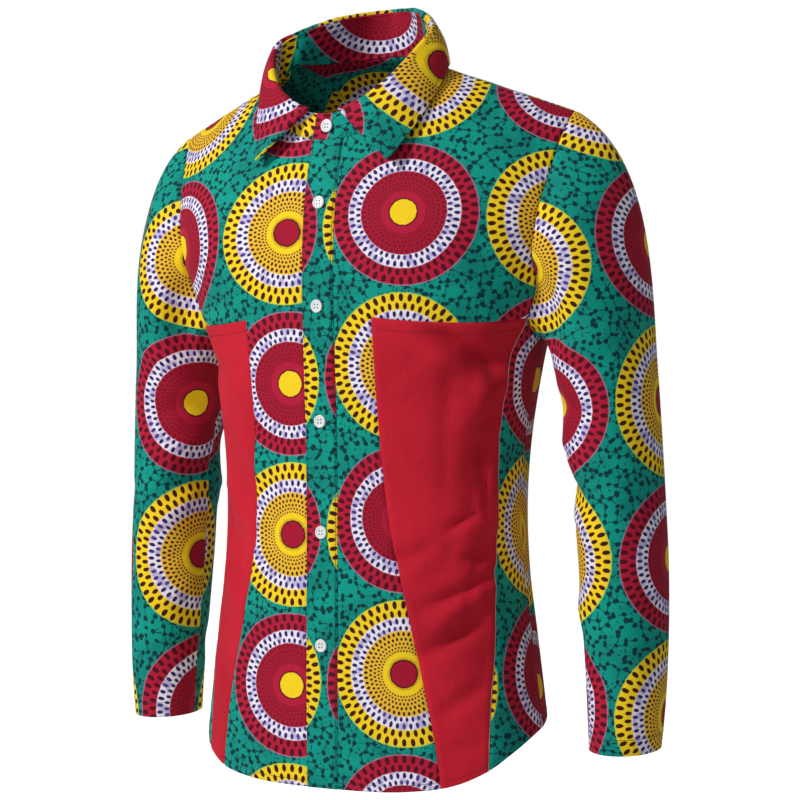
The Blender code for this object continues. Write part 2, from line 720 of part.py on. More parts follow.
def button(name, centre, normal, material):
    """A turned button with a rim, a dished face and four thread holes."""
    half = BUTTON_HEIGHT / 2
    profile = (
        (0.0, half - 0.0006),
        (BUTTON_RADIUS * 0.62, half - 0.0006),
        (BUTTON_RADIUS * 0.78, half),
        (BUTTON_RADIUS * 0.94, half - 0.0002),
        (BUTTON_RADIUS, half - 0.0009),
        (BUTTON_RADIUS * 0.88, -half),
        (0.0, -half),
    )
    data = bpy.data.meshes.new(name)
    data.from_pydata([(r, 0.0, z) for r, z in profile], [(i, i + 1) for i in range(len(profile) - 1)], [])
    piece = place(name, data, material)
    piece.location = centre
    piece.rotation_euler = Vector(normal).to_track_quat("Z", "Y").to_euler()
    turn = piece.modifiers.new("Turn", "SCREW")
    turn.steps = 18
    turn.render_steps = 18
    turn.use_merge_vertices = True
    turn.merge_threshold = 0.00001
    holes = bmesh.new()
    for quarter in range(4):
        angle = math.radians(45 + 90 * quarter)
        at = Vector((math.cos(angle), math.sin(angle), 0.0)) * BUTTON_HOLE_SPREAD
        bmesh.ops.create_cone(
            holes,
            cap_ends=True,
            segments=6,
            radius1=BUTTON_HOLE_RADIUS,
            radius2=BUTTON_HOLE_RADIUS,
            depth=BUTTON_HEIGHT * 2,
            matrix=Matrix.Translation(at),
        )
    hole_data = bpy.data.meshes.new(name + "_holes")
    holes.to_mesh(hole_data)
    holes.free()
    cutter = bpy.data.objects.new(name + "_holes", hole_data)
    cutter_collection().objects.link(cutter)
    cutter.location = piece.location
    cutter.rotation_euler = piece.rotation_euler
    cutter.hide_render = True
    cutter.display_type = "WIRE"
    cut = piece.modifiers.new("Holes", "BOOLEAN")
    cut.solver = "EXACT"
    cut.object = cutter
    return piece


def build_shirt():
    printed = plain_material("printed_cotton", PRINT_GREEN, 0.8)
    plain = plain_material("plain_cotton", PLAIN_RED, 0.8)
    shell = plain_material("button_shell", SHELL_WHITE, 0.3)
    centre = np.zeros(3)

    # Fronts and back, with their folds
    garment = Garment()
    left_cut, right_cut = front_cut(LEFT_PANEL_EDGE), front_cut(RIGHT_PANEL_EDGE)
    rear_cut, flank_cut = back_cut(), side_cut()
    lap_cut = strip_cut((PLACKET_HALF_WIDTH, 0.001, -UNDERLAP_EDGE))
    left = garment.add("front_left", body_point(*np.moveaxis(left_cut, -1, 0), False), centre)
    right = garment.add("front_right", mirrored(body_point(*np.moveaxis(right_cut, -1, 0), False)), centre)
    rear = garment.add("back", body_point(*np.moveaxis(rear_cut, -1, 0), True), centre)
    flank = body_point(*np.moveaxis(flank_cut, -1, 0), True)
    near = garment.add("side_left", flank, centre)
    far = garment.add("side_right", mirrored(flank), centre)
    lap = garment.add("underlap", mirrored(body_point(*np.moveaxis(lap_cut, -1, 0), False)), centre)
    degrees = np.zeros(len(garment.points))
    degrees[lap] = -lap_cut[..., 0]
    degrees[rear] = rear_cut[..., 0]
    degrees[near] = flank_cut[..., 0]
    degrees[far] = -flank_cut[..., 0]
    degrees[left] = left_cut[..., 0]
    degrees[right] = -right_cut[..., 0]
    lift = fold_height(BODY_FOLDS, BODY_METRES_PER_DEGREE, degrees, garment.points[:, 2])
    normals = unit(garment.normals())
    garment.points = garment.points + normals * lift[:, None]
    beneath = np.unique(lap)
    garment.points[beneath] -= normals[beneath] * UNDERLAP_DEPTH

    # Placket, sewn to the left front and lying over the right one
    strip = body_point(*np.moveaxis(strip_cut((PLACKET_HALF_WIDTH, 0.0, -PLACKET_HALF_WIDTH)), -1, 0), False)
    strip[:, 0] = garment.points[left[: LOW_ROWS + OPENING_ROWS + 1, 0]]
    band = garment.add("placket", strip, centre)

    # Sleeves, from the armholes of the fronts and the back
    for side, front_edge, bottom, rear_edge in (
        ("left", left[LOW_ROWS:, -1], near[-1], rear[LOW_ROWS:, 0]),
        ("right", right[LOW_ROWS:, -1], far[-1], rear[LOW_ROWS:, -1]),
    ):
        hole = garment.points[np.concatenate([front_edge[::-1], bottom[1:], rear_edge[1:-1]])]
        rows = mirrored(folded_sleeve(mirrored(hole))) if side == "right" else folded_sleeve(hole)
        garment.add("sleeve_" + side, rows, rows[-1].mean(axis=0), row=-1)

    # Collar, from the neck edges of the placket, the fronts and the back
    neck = LOW_ROWS + OPENING_ROWS
    round_back = rear[-1, FRONT_COLUMNS : FRONT_COLUMNS + BACK_NECK_COLUMNS + 1]
    seam_ids = np.concatenate([
        band[-1, ::-1],
        left[neck + 1 :, 0],
        round_back[1:],
        right[neck:-1, 0][::-1],
        lap[-1, 1:],
    ])
    seam = garment.points[seam_ids]
    station, way = collar_stations(seam)
    top = collar_line(station, way, 1) - np.array([0.0, 0.0, FOLD_RADIUS])
    top[-3:, 1] += UNDERLAP_DEPTH
    stand = np.array([seam + (top - seam) * share for share in np.linspace(0.0, 1.0, STAND_ROWS + 1)])
    hub = np.array([0.0, -0.03, 0.0])
    garment.add("collar_stand", stand, hub)
    leaf = slice(2, -2)
    garment.add("collar_fall", leaf_rows(top, station, way)[:, leaf], hub)

    # Walls
    normals = garment.normals()
    for side, grid in (("left", left), ("right", right)):
        faces = garment.pieces["front_" + side]
        low = faces[:LOW_ROWS, PRINT_COLUMNS:].reshape(-1, 4)
        rest = [faces[:LOW_ROWS, :PRINT_COLUMNS].reshape(-1, 4), faces[LOW_ROWS:].reshape(-1, 4)]
        if side == "right":
            rest.append(garment.pieces["underlap"].reshape(-1, 4))
        cloth_wall("front_" + side, garment, normals, np.concatenate(rest), CLOTH, printed)
        cloth_wall("red_panel_" + side, garment, normals, low, CLOTH, plain)
    rear_faces = [garment.pieces[name].reshape(-1, 4) for name in ("back", "side_left", "side_right")]
    cloth_wall("back", garment, normals, np.concatenate(rear_faces), CLOTH, printed)
    for name, thickness in (
        ("placket", PLACKET_CLOTH),
        ("sleeve_left", CLOTH),
        ("sleeve_right", CLOTH),
        ("collar_stand", COLLAR_CLOTH),
        ("collar_fall", COLLAR_CLOTH),
    ):
        cloth_wall(name, garment, normals, garment.pieces[name], thickness, printed)

    # Buttons
    stand_middle = stand[:, 1]
    at = np.interp(STAND_BUTTON_HEIGHT, stand_middle[:, 2], stand_middle[:, 1])
    reach = COLLAR_CLOTH / 2 + SEAM_GAP + BUTTON_HEIGHT / 2
    rise = unit(stand_middle[-1] - stand_middle[0])
    facing = np.array([0.0, -rise[2], rise[1]])
    button("button_1", np.array([0.0, at, STAND_BUTTON_HEIGHT]) + facing * reach, facing, shell)
    reach = PLACKET_CLOTH / 2 + SEAM_GAP + BUTTON_HEIGHT / 2
    for number, height in enumerate(BUTTON_HEIGHTS, start=2):
        below, here, above = (body_point(0.0, height + step, False) for step in (-0.01, 0.0, 0.01))
        rise = unit(above - below)
        facing = np.array([0.0, -rise[2], rise[1]])
        button(f"button_{number}", here + facing * (reach + 0.0001), facing, shell)


for thing in list(bpy.data.objects):
    bpy.data.objects.remove(thing, do_unlink=True)
build_shirt()
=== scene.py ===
"""A worn, hollow kaftan shirt in wax print with two plain red panels, in a pale studio.

Metres, +Z up. The front faces -Y and the wearer's left is +X.
"""

import math

import bmesh
import bpy
import numpy as np
from mathutils import Matrix, Vector
from mathutils.bvhtree import BVHTree
from mathutils.kdtree import KDTree


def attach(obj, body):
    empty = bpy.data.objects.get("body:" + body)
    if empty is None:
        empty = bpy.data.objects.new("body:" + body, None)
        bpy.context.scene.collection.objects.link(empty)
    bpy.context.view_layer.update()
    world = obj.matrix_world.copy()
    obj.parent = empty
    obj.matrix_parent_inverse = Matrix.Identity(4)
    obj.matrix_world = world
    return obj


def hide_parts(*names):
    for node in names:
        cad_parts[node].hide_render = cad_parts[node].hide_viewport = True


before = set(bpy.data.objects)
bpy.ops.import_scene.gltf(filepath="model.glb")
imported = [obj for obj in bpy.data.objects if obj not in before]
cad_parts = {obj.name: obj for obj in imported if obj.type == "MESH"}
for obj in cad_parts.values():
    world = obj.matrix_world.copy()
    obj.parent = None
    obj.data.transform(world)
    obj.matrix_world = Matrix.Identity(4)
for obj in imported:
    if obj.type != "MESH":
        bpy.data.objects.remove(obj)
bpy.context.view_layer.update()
scene = bpy.context.scene

# Wax print: a cotton cloth printed on both sides with rows of seeded discs, crimson and
# yellow by turns, on a teal ground of dots and threads. It is cut first, because the
# fronts, the back, the sleeves, the placket and the collar are all made from it.

DISC_PITCH = 0.1435
DISC_RADIUS = 0.0688
SEEDS_ROUND = 48
SEED_ROW_STEP = 0.872
OUTER_SEED_ROW = 0.932
PALE_FROM = 0.583
PALE_TO = 0.762
RING_RADIUS = 0.196
DOT_RADIUS = 0.176
TICKS = 72
SPOKES = 30
GROUND_DOTS = 122.0
GROUND_DOT_RADIUS = 0.00225
THREAD_HALF_WIDTH = 0.00046
THREAD_CHANCE = 0.62
THREAD_PITCH = 0.0007
CRIMSON = (0.450, 0.008, 0.040, 1.0)
CRIMSON_INNER = (0.370, 0.005, 0.028, 1.0)
CRIMSON_SEED = (0.085, 0.002, 0.010, 1.0)
YELLOW = (0.930, 0.640, 0.012, 1.0)
YELLOW_INNER = (0.820, 0.480, 0.030, 1.0)
YELLOW_SEED = (0.050, 0.007, 0.006, 1.0)
PALE_BAND = (0.840, 0.790, 0.900, 1.0)
LILAC = (0.130, 0.080, 0.420, 1.0)
NAVY_SEED = (0.025, 0.012, 0.120, 1.0)
TEAL = (0.000, 0.320, 0.250, 1.0)
TEAL_DEEP = (0.000, 0.240, 0.195, 1.0)
TEAL_INK = (0.000, 0.020, 0.032, 1.0)
CRIMSON_RIM = (0.300, 0.220, 0.330, 1.0)
YELLOW_RIM = (0.420, 0.620, 0.060, 1.0)


def add_node(tree, kind, inputs=(), **settings):
    """A shader node with its settings, and each input linked or set."""
    node = tree.nodes.new("ShaderNode" + kind)
    for name, value in settings.items():
        setattr(node, name, value)
    for key, value in dict(inputs).items():
        if isinstance(value, bpy.types.NodeSocket):
            tree.links.new(value, node.inputs[key])
        else:
            node.inputs[key].default_value = value
    return node


def sum_of(tree, operation, *values, clamp=False):
    node = add_node(tree, "Math", enumerate(values), operation=operation, use_clamp=clamp)
    return node.outputs[0]


def along_vector(tree, operation, *values):
    node = add_node(tree, "VectorMath", enumerate(values), operation=operation)
    return node.outputs["Value" if operation in ("DOT_PRODUCT", "LENGTH", "DISTANCE") else "Vector"]


def times(tree, *values):
    return sum_of(tree, "MULTIPLY", *values)


def plus(tree, *values):
    return sum_of(tree, "ADD", *values)


def minus(tree, *values):
    return sum_of(tree, "SUBTRACT", *values)


def scaled(tree, vector, share):
    return add_node(tree, "VectorMath", {0: vector, "Scale": share}, operation="SCALE").outputs[0]


def noise(tree, place, scale, detail=1.0):
    return add_node(tree, "TexNoise", {"Vector": place, "Scale": scale, "Detail": detail})


def mapped(tree, value, low, high, to_low=0.0, to_high=1.0):
    """The value carried from one range to another, and held at its ends."""
    ends = {0: value, 1: low, 2: high, 3: to_low, 4: to_high}
    return add_node(tree, "MapRange", ends, clamp=True).outputs[0]


def below(tree, value, limit, soft):
    return mapped(tree, value, limit - soft, limit + soft, 1.0, 0.0)


def within(tree, value, low, high, soft):
    """1 where the value lies between two limits, with soft edges."""
    return times(tree, mapped(tree, value, low - soft, low + soft), below(tree, value, high, soft))


def painted(tree, share, under, over):
    """The `over` colour laid on the `under` colour where the share is 1."""
    node = add_node(tree, "Mix", {0: share, 6: under, 7: over}, data_type="RGBA")
    return node.outputs[2]


def new_material(name):
    """A material with its node tree and its Principled shader."""
    material = bpy.data.materials.new(name)
    material.use_nodes = True
    return material, material.node_tree, material.node_tree.nodes["Principled BSDF"]


def new_group(name, inputs, outputs):
    group = bpy.data.node_groups.new(name, "ShaderNodeTree")
    for label, kind in inputs:
        group.interface.new_socket(label, in_out="INPUT", socket_type="NodeSocket" + kind)
    for label, kind in outputs:
        group.interface.new_socket(label, in_out="OUTPUT", socket_type="NodeSocket" + kind)
    return group, group.nodes.new("NodeGroupInput"), group.nodes.new("NodeGroupOutput")


def wax_print_group():
    """The print's colours at a place on the flat cloth, in metres. A crimson disc is at 0, 0."""
    group, given, result = new_group(
        "wax_print",
        [("Cloth", "Vector")],
        [("Colour", "Color"), ("Ink", "Float")],
    )
    cloth = given.outputs["Cloth"]
    split = add_node(group, "SeparateXYZ", {0: cloth})
    cells, offsets = [], []
    for axis in (0, 1):
        place = sum_of(group, "DIVIDE", split.outputs[axis], DISC_PITCH)
        cell = sum_of(group, "ROUND", place)
        cells.append(cell)
        offsets.append(times(group, minus(group, place, cell), DISC_PITCH / DISC_RADIUS))
    yellow = sum_of(group, "PINGPONG", plus(group, *cells), 1.0)
    squares = [times(group, value, value) for value in offsets]
    plain_radius = sum_of(group, "SQRT", plus(group, *squares))
    cut = noise(group, cloth, 260.0)
    wobble = times(group, minus(group, cut.outputs[0], 0.5), 0.022)
    radius = sum_of(group, "MAXIMUM", plus(group, plain_radius, wobble), 0.01)
    turn = sum_of(group, "ARCTAN2", offsets[1], offsets[0])
    count = times(group, turn, SEEDS_ROUND / (2 * math.pi))

    # Seeds: rows whose spacing grows with the radius, each row half a seed round from the last
    depth = sum_of(group, "LOGARITHM", sum_of(group, "DIVIDE", radius, OUTER_SEED_ROW), SEED_ROW_STEP)
    row = sum_of(group, "ROUND", depth)
    stagger = times(group, sum_of(group, "PINGPONG", row, 1.0), 0.5)
    round_place = plus(group, count, stagger)
    sideways = minus(group, round_place, sum_of(group, "ROUND", round_place))
    inward = minus(group, depth, row)
    wide = mapped(group, radius, 0.30, 0.95, 0.275, 0.255)
    tall = mapped(group, radius, 0.30, 0.75, 0.30, 0.43)
    across_seed = sum_of(group, "DIVIDE", sideways, wide)
    along_seed = sum_of(group, "DIVIDE", inward, tall)
    seed_span = plus(group, times(group, across_seed, across_seed), times(group, along_seed, along_seed))
    seed = below(group, seed_span, 1.0, 0.16)
    seed = times(group, seed, within(group, radius, 0.285, 0.995, 0.006))

    # Bands of a disc from the rim inwards
    pale = within(group, radius, PALE_FROM, PALE_TO, 0.007)
    inner = below(group, radius, PALE_FROM, 0.006)
    fill = painted(group, yellow, CRIMSON, YELLOW)
    inner_fill = painted(group, yellow, CRIMSON_INNER, YELLOW_INNER)
    seed_band = times(group, inner, within(group, radius, 0.30, 1.0, 0.02))
    disc = painted(group, seed_band, fill, inner_fill)
    disc = painted(group, pale, disc, PALE_BAND)
    seed_ink = painted(group, yellow, CRIMSON_SEED, YELLOW_SEED)
    seed_ink = painted(group, pale, seed_ink, NAVY_SEED)
    soft_seed = minus(group, 1.0, times(group, inner, 0.45))
    crimson_share = times(group, seed, soft_seed)
    share = add_node(group, "Mix", {0: yellow, 2: crimson_share, 3: seed}, data_type="FLOAT").outputs[0]
    disc = painted(group, share, disc, seed_ink)
    lilac_cloud = noise(group, cloth, 95.0).outputs[0]
    cloud = times(group, within(group, lilac_cloud, 0.55, 1.2, 0.05), pale)
    disc = painted(group, times(group, cloud, 0.45), disc, LILAC)

    # Middle: a dot of the other colour, a dark ring and short ticks
    tick_place = times(group, turn, TICKS / (2 * math.pi))
    tick_side = sum_of(group, "ABSOLUTE", minus(group, tick_place, sum_of(group, "ROUND", tick_place)))
    ticks = times(group, below(group, tick_side, 0.2, 0.08), within(group, radius, 0.18, 0.225, 0.006))
    ticks = times(group, ticks, times(group, yellow, 0.75))
    disc = painted(group, ticks, disc, YELLOW_SEED)
    dot = painted(group, yellow, YELLOW, CRIMSON_INNER)
    disc = painted(group, below(group, radius, RING_RADIUS, 0.004), disc, CRIMSON_SEED)
    disc = painted(group, below(group, radius, DOT_RADIUS, 0.004), disc, dot)
    rim = painted(group, yellow, CRIMSON_RIM, YELLOW_RIM)
    rim_share = times(group, within(group, radius, 0.985, 1.003, 0.004), 0.8)
    disc = painted(group, rim_share, disc, rim)

    # Ground: dots joined to a near neighbour by bent threads
    bend = noise(group, cloth, 130.0)
    bent = along_vector(group, "SUBTRACT", bend.outputs["Color"], (0.5, 0.5, 0.5))
    bent = scaled(group, bent, 0.0052)
    bent = along_vector(group, "MULTIPLY", along_vector(group, "ADD", cloth, bent), (1.0, 1.0, 0.0))
    dots = {"Vector": bent, "Scale": GROUND_DOTS, "Randomness": 0.86}
    first = add_node(group, "TexVoronoi", dots, voronoi_dimensions="2D", feature="F1")
    second = add_node(group, "TexVoronoi", dots, voronoi_dimensions="2D", feature="F2")
    start = along_vector(group, "MULTIPLY", first.outputs["Position"], (1.0, 1.0, 0.0))
    end = along_vector(group, "MULTIPLY", second.outputs["Position"], (1.0, 1.0, 0.0))
    reach = along_vector(group, "SUBTRACT", end, start)
    away = along_vector(group, "SUBTRACT", bent, start)
    dot_radius = along_vector(group, "LENGTH", away)
    reached, whole = (along_vector(group, "DOT_PRODUCT", side, reach) for side in (away, reach))
    nearest = scaled(group, reach, sum_of(group, "DIVIDE", reached, whole, clamp=True))
    thread_away = along_vector(group, "DISTANCE", away, nearest)
    pair = along_vector(group, "ADD", start, end)
    pair = along_vector(group, "SNAP", pair, (0.0002, 0.0002, 1.0))
    chance = add_node(group, "TexWhiteNoise", {"Vector": pair})
    drawn = below(group, chance.outputs[0], THREAD_CHANCE, 0.001)
    thread = times(group, below(group, thread_away, THREAD_HALF_WIDTH, 0.00014), drawn)
    ink = sum_of(group, "MAXIMUM", below(group, dot_radius, GROUND_DOT_RADIUS, 0.00025), thread)
    spoke_place = times(group, turn, SPOKES / (2 * math.pi))
    spoke_cell = sum_of(group, "ROUND", spoke_place)
    spoke_side = sum_of(group, "ABSOLUTE", minus(group, spoke_place, spoke_cell))
    spoke = times(group, below(group, spoke_side, 0.035, 0.015), within(group, radius, 1.0, 1.05, 0.01))
    ink = sum_of(group, "MAXIMUM", ink, times(group, spoke, 0.9))
    shade = noise(group, cloth, 22.0, 2.0).outputs[0]
    ground = painted(group, within(group, shade, 0.5, 2.0, 0.09), TEAL, TEAL_DEEP)
    ground = painted(group, times(group, ink, 0.93), ground, TEAL_INK)
    on_disc = below(group, radius, 1.0, 0.004)
    group.links.new(painted(group, on_disc, ground, disc), result.inputs["Colour"])
    inked = add_node(group, "Mix", {0: on_disc, 2: ink, 3: seed}, data_type="FLOAT").outputs[0]
    group.links.new(inked, result.inputs["Ink"])
    return group


def cotton_weave_group():
    """Crossed threads with slubs, and soft crumple, at a place on the flat cloth in metres."""
    group, given, result = new_group(
        "cotton_weave",
        [("Cloth", "Vector"), ("Thread", "Float"), ("Crumple", "Float")],
        [("Height", "Float"), ("Worn", "Float")],
    )
    cloth = given.outputs["Cloth"]
    split = add_node(group, "SeparateXYZ", {0: cloth})
    waves = []
    for axis in (0, 1):
        turned = sum_of(group, "DIVIDE", split.outputs[axis], given.outputs["Thread"])
        waves.append(sum_of(group, "ABSOLUTE", sum_of(group, "SINE", times(group, turned, math.pi))))
    weave = times(group, sum_of(group, "MAXIMUM", *waves), 0.00012)
    slubs = []
    for stretch in ((1.0, 0.06, 1.0), (0.06, 1.0, 1.0)):
        drawn = along_vector(group, "MULTIPLY", cloth, stretch)
        slubs.append(noise(group, drawn, 900.0, 2.0).outputs[0])
    slub = plus(group, *slubs)
    crumple = add_node(group, "TexNoise", {"Vector": cloth, "Scale": 34.0, "Detail": 3.0, "Roughness": 0.55})
    soft = times(group, crumple.outputs[0], given.outputs["Crumple"])
    height = plus(group, plus(group, weave, times(group, slub, 0.00010)), soft)
    group.links.new(height, result.inputs["Height"])
    group.links.new(times(group, slub, 0.5), result.inputs["Worn"])
    return group


wax_print = wax_print_group()
cotton_weave = cotton_weave_group()


def cotton_shader(tree, shader, colour, cloth, crumple, roughness):
    """Principled cotton: a colour over the cloth, threads in relief and a soft sheen."""
    weave = add_node(tree, "Group", node_tree=cotton_weave)
    tree.links.new(cloth, weave.inputs["Cloth"])
    weave.inputs["Thread"].default_value = THREAD_PITCH
    weave.inputs["Crumple"].default_value = crumple
    worn = weave.outputs["Worn"]
    faded = mapped(tree, worn, 0.3, 0.7, 0.93, 1.06)
    tree.links.new(scaled(tree, colour, faded), shader.inputs["Base Color"])
    rough = mapped(tree, worn, 0.3, 0.7, roughness + 0.06, roughness - 0.05)
    tree.links.new(rough, shader.inputs["Roughness"])
    bump = add_node(tree, "Bump", {"Height": weave.outputs["Height"], "Strength": 0.7, "Distance": 1.0})
    tree.links.new(bump.outputs[0], shader.inputs["Normal"])
    shader.inputs["Sheen Weight"].default_value = 0.03
    shader.inputs["Sheen Roughness"].default_value = 0.6
    shader.inputs["Specular IOR Level"].default_value = 0.12


def printed_cotton():
    material, tree, shader = new_material("printed_cotton_cloth")
    cloth = add_node(tree, "UVMap", uv_map="cloth").outputs[0]
    design = add_node(tree, "Group", node_tree=wax_print)
    tree.links.new(cloth, design.inputs["Cloth"])
    cotton_shader(tree, shader, design.outputs["Colour"], cloth, 0.0016, 0.72)
    return material


print_cloth = printed_cotton()

# Fronts: one piece of wax print each, from the placket's seam round to the side seam, up
# over the chest to the shoulder seam. Pinched folds run in from the waist of the side
# seam, and soft hanging folds run down from the armhole.

NECK_HALF_WIDTH = 0.085
NECK_POINT_HEIGHT = 0.005
SHOULDER_POINT_X = 0.215
SHOULDER_DROP = 0.372
SHOULDER_LINE_Y = -0.005
NECK_LINE_Y = -0.035
FRONT_ROLL = 0.18
FRONT_SLOPE = 1.25
BACK_ROLL = 0.13
FRONT_NECK_DEPTH = 0.073
BACK_NECK_HEIGHT = 0.030
BACK_NECK_RISE = 0.047
SECTION_POWER = 2.25
PLACKET_HALF_WIDTH = 0.0165
UNDERLAP_EDGE = 0.0130
UNDERLAP_DEPTH = 0.0021
PANEL_TOP = -0.238
SHOULDER_SHARE_OF_PRINT = 0.42
CLOTH = 0.0012

# Height, half width, front depth, back depth
BODY = (
    (-0.72, 0.183, 0.106, 0.094),
    (-0.66, 0.181, 0.107, 0.095),
    (-0.60, 0.174, 0.108, 0.095),
    (-0.54, 0.166, 0.108, 0.094),
    (-0.48, 0.158, 0.108, 0.093),
    (-0.42, 0.155, 0.108, 0.094),
    (-0.36, 0.158, 0.109, 0.098),
    (-0.30, 0.167, 0.112, 0.103),
    (-0.25, 0.178, 0.115, 0.109),
    (-0.20, 0.198, 0.117, 0.114),
    (-0.15, 0.219, 0.115, 0.118),
    (-0.10, 0.226, 0.109, 0.119),
    (-0.05, 0.228, 0.101, 0.116),
    (0.06, 0.228, 0.093, 0.110),
)
# Height, degrees round from the centre front
SIDE_SEAM = (
    (-0.72, 54.0),
    (-0.66, 56.0),
    (-0.60, 60.0),
    (-0.55, 65.0),
    (-0.50, 69.0),
    (-0.44, 73.0),
    (-0.36, 73.0),
    (-0.30, 72.0),
    (-0.24, 77.0),
)
# Degrees round from the centre front, height
HEM = (
    (-20.0, -0.682),
    (0.0, -0.682),
    (25.0, -0.680),
    (42.0, -0.673),
    (56.0, -0.660),
    (66.0, -0.648),
    (78.0, -0.636),
    (92.0, -0.626),
    (106.0, -0.618),
    (122.0, -0.624),
    (150.0, -0.654),
    (180.0, -0.670),
)
# Height, half width
FRONT_ARMHOLE = ((-0.215, 0.1865), (-0.17, 0.1925), (-0.14, 0.198), (-0.10, 0.205), (-0.07, 0.2095))
BACK_ARMHOLE = ((-0.215, 0.1865), (-0.17, 0.190), (-0.14, 0.194), (-0.10, 0.200), (-0.07, 0.2065))
UNDERARM = (92.0, -0.2555)
ARMHOLE_BEFORE = ((84.0, -0.2510),)
ARMHOLE_BEHIND = ((100.0, -0.2480),)
# Height, distance of the red panel's inner edge from the centre front
LEFT_PANEL_EDGE = (
    (-0.72, 0.118),
    (-0.655, 0.113),
    (-0.572, 0.098),
    (-0.505, 0.083),
    (-0.443, 0.070),
    (-0.371, 0.061),
    (-0.327, 0.058),
    (-0.240, 0.055),
)
RIGHT_PANEL_EDGE = (
    (-0.72, 0.129),
    (-0.655, 0.124),
    (-0.602, 0.116),
    (-0.520, 0.096),
    (-0.450, 0.082),
    (-0.390, 0.079),
    (-0.300, 0.083),
    (-0.240, 0.0865),
)
# Degrees round and height of both ends, half width, depth. A minus depth is a trough.
BODY_FOLDS = (
    (82.0, -0.262, 40.0, -0.300, 0.016, -0.0050),
    (76.0, -0.285, 46.0, -0.345, 0.015, 0.0045),
    (74.0, -0.372, 52.0, -0.405, 0.013, -0.0058),
    (72.0, -0.395, 48.0, -0.450, 0.014, 0.0057),
    (72.0, -0.440, 34.0, -0.478, 0.013, -0.0050),
    (68.0, -0.480, 34.0, -0.535, 0.013, 0.0045),
    (66.0, -0.505, 40.0, -0.545, 0.011, -0.0035),
    (-80.0, -0.262, -44.0, -0.305, 0.016, -0.0045),
    (-60.0, -0.380, -38.0, -0.425, 0.013, 0.0035),
    (-58.0, -0.430, -34.0, -0.462, 0.013, -0.0045),
    (-58.0, -0.470, -34.0, -0.520, 0.013, 0.0040),
    (-40.0, -0.345, -22.0, -0.395, 0.016, 0.0035),
    (112.0, -0.285, 144.0, -0.335, 0.016, -0.0050),
    (120.0, -0.395, 160.0, -0.420, 0.014, -0.0055),
    (122.0, -0.430, 166.0, -0.455, 0.014, 0.0055),
    (120.0, -0.470, 156.0, -0.480, 0.014, -0.0045),
    (-112.0, -0.290, -142.0, -0.345, 0.016, -0.0050),
    (-118.0, -0.405, -154.0, -0.425, 0.014, -0.0060),
    (-120.0, -0.440, -162.0, -0.462, 0.014, 0.0055),
    (-118.0, -0.485, -150.0, -0.500, 0.014, -0.0045),
    (172.0, -0.300, 168.0, -0.400, 0.022, 0.0040),
)
# Smaller creases that only the cloth itself shows
BODY_CREASES = (
    (32.0, -0.246, 72.0, -0.292, 0.0075, -0.0085),
    (30.0, -0.262, 68.0, -0.310, 0.0085, 0.0055),
    (72.0, -0.310, 56.0, -0.345, 0.0080, -0.0024),
    (74.0, -0.350, 54.0, -0.374, 0.0062, -0.0085),
    (74.0, -0.373, 54.0, -0.402, 0.0070, 0.0072),
    (74.0, -0.400, 46.0, -0.438, 0.0060, -0.0085),
    (74.0, -0.424, 48.0, -0.464, 0.0070, 0.0058),
    (72.0, -0.452, 60.0, -0.470, 0.0050, -0.0026),
    (74.0, -0.474, 34.0, -0.510, 0.0065, -0.0070),
    (64.0, -0.445, 52.0, -0.520, 0.0060, -0.0020),
    (20.0, -0.470, 44.0, -0.450, 0.0080, -0.0044),
    (28.0, -0.560, 60.0, -0.518, 0.0090, -0.0050),
    (34.0, -0.612, 60.0, -0.578, 0.0090, -0.0036),
    (40.0, -0.640, 58.0, -0.632, 0.0060, -0.0016),
    (44.0, -0.262, 46.0, -0.420, 0.0100, -0.0018),
    (58.0, -0.262, 60.0, -0.380, 0.0100, 0.0018),
    (20.0, -0.300, 34.0, -0.270, 0.0080, -0.0010),
    (6.0, -0.395, 20.0, -0.430, 0.0080, 0.0012),
    (14.0, -0.505, 30.0, -0.480, 0.0080, -0.0012),
    (-18.0, -0.440, -34.0, -0.452, 0.0070, -0.0016),
    (-16.0, -0.500, -30.0, -0.560, 0.0080, 0.0014),
    (-58.0, -0.445, -44.0, -0.452, 0.0050, -0.0018),
    (-56.0, -0.560, -40.0, -0.600, 0.0070, -0.0016),
    (34.0, -0.150, 62.0, -0.225, 0.0110, -0.0016),
    (26.0, -0.120, 44.0, -0.200, 0.0120, 0.0014),
    (-34.0, -0.150, -60.0, -0.222, 0.0110, -0.0018),
    (-22.0, -0.130, -30.0, -0.230, 0.0120, 0.0014),
    (118.0, -0.405, 140.0, -0.398, 0.0055, -0.0020),
    (118.0, -0.445, 146.0, -0.440, 0.0055, -0.0020),
    (-120.0, -0.420, -146.0, -0.430, 0.0055, -0.0022),
    (-118.0, -0.465, -140.0, -0.478, 0.0060, 0.0018),
    (150.0, -0.540, 132.0, -0.600, 0.0100, -0.0018),
    (-150.0, -0.520, -136.0, -0.600, 0.0100, -0.0018),
    (130.0, -0.160, 116.0, -0.230, 0.0120, -0.0020),
    (-130.0, -0.165, -118.0, -0.235, 0.0120, -0.0020),
    (176.0, -0.120, 150.0, -0.200, 0.0130, 0.0014),
)
METRES_PER_DEGREE = 0.0026
LOW_PARTS = 17
UP_PARTS = 10
PROBE_DEGREES = 0.4
PROBE_HEIGHT = 0.001


def uneven(count):
    """Shares from 0 to 1. The first and last steps are parted in three, for the turn of a seam."""
    even = np.linspace(0.0, 1.0, count + 1)
    step = even[1]
    return np.unique(np.concatenate([even, [0.28 * step, 0.62 * step, 1 - 0.62 * step, 1 - 0.28 * step]]))


LOW = uneven(92)
OPENING = uneven(34)
NECK = uneven(22)
UP = np.concatenate([OPENING * 0.6, 0.6 + NECK[1:] * 0.4])
PRINT = uneven(24)
PANEL = uneven(30)
SIDE = uneven(8)
BACK_NECK = uneven(34)


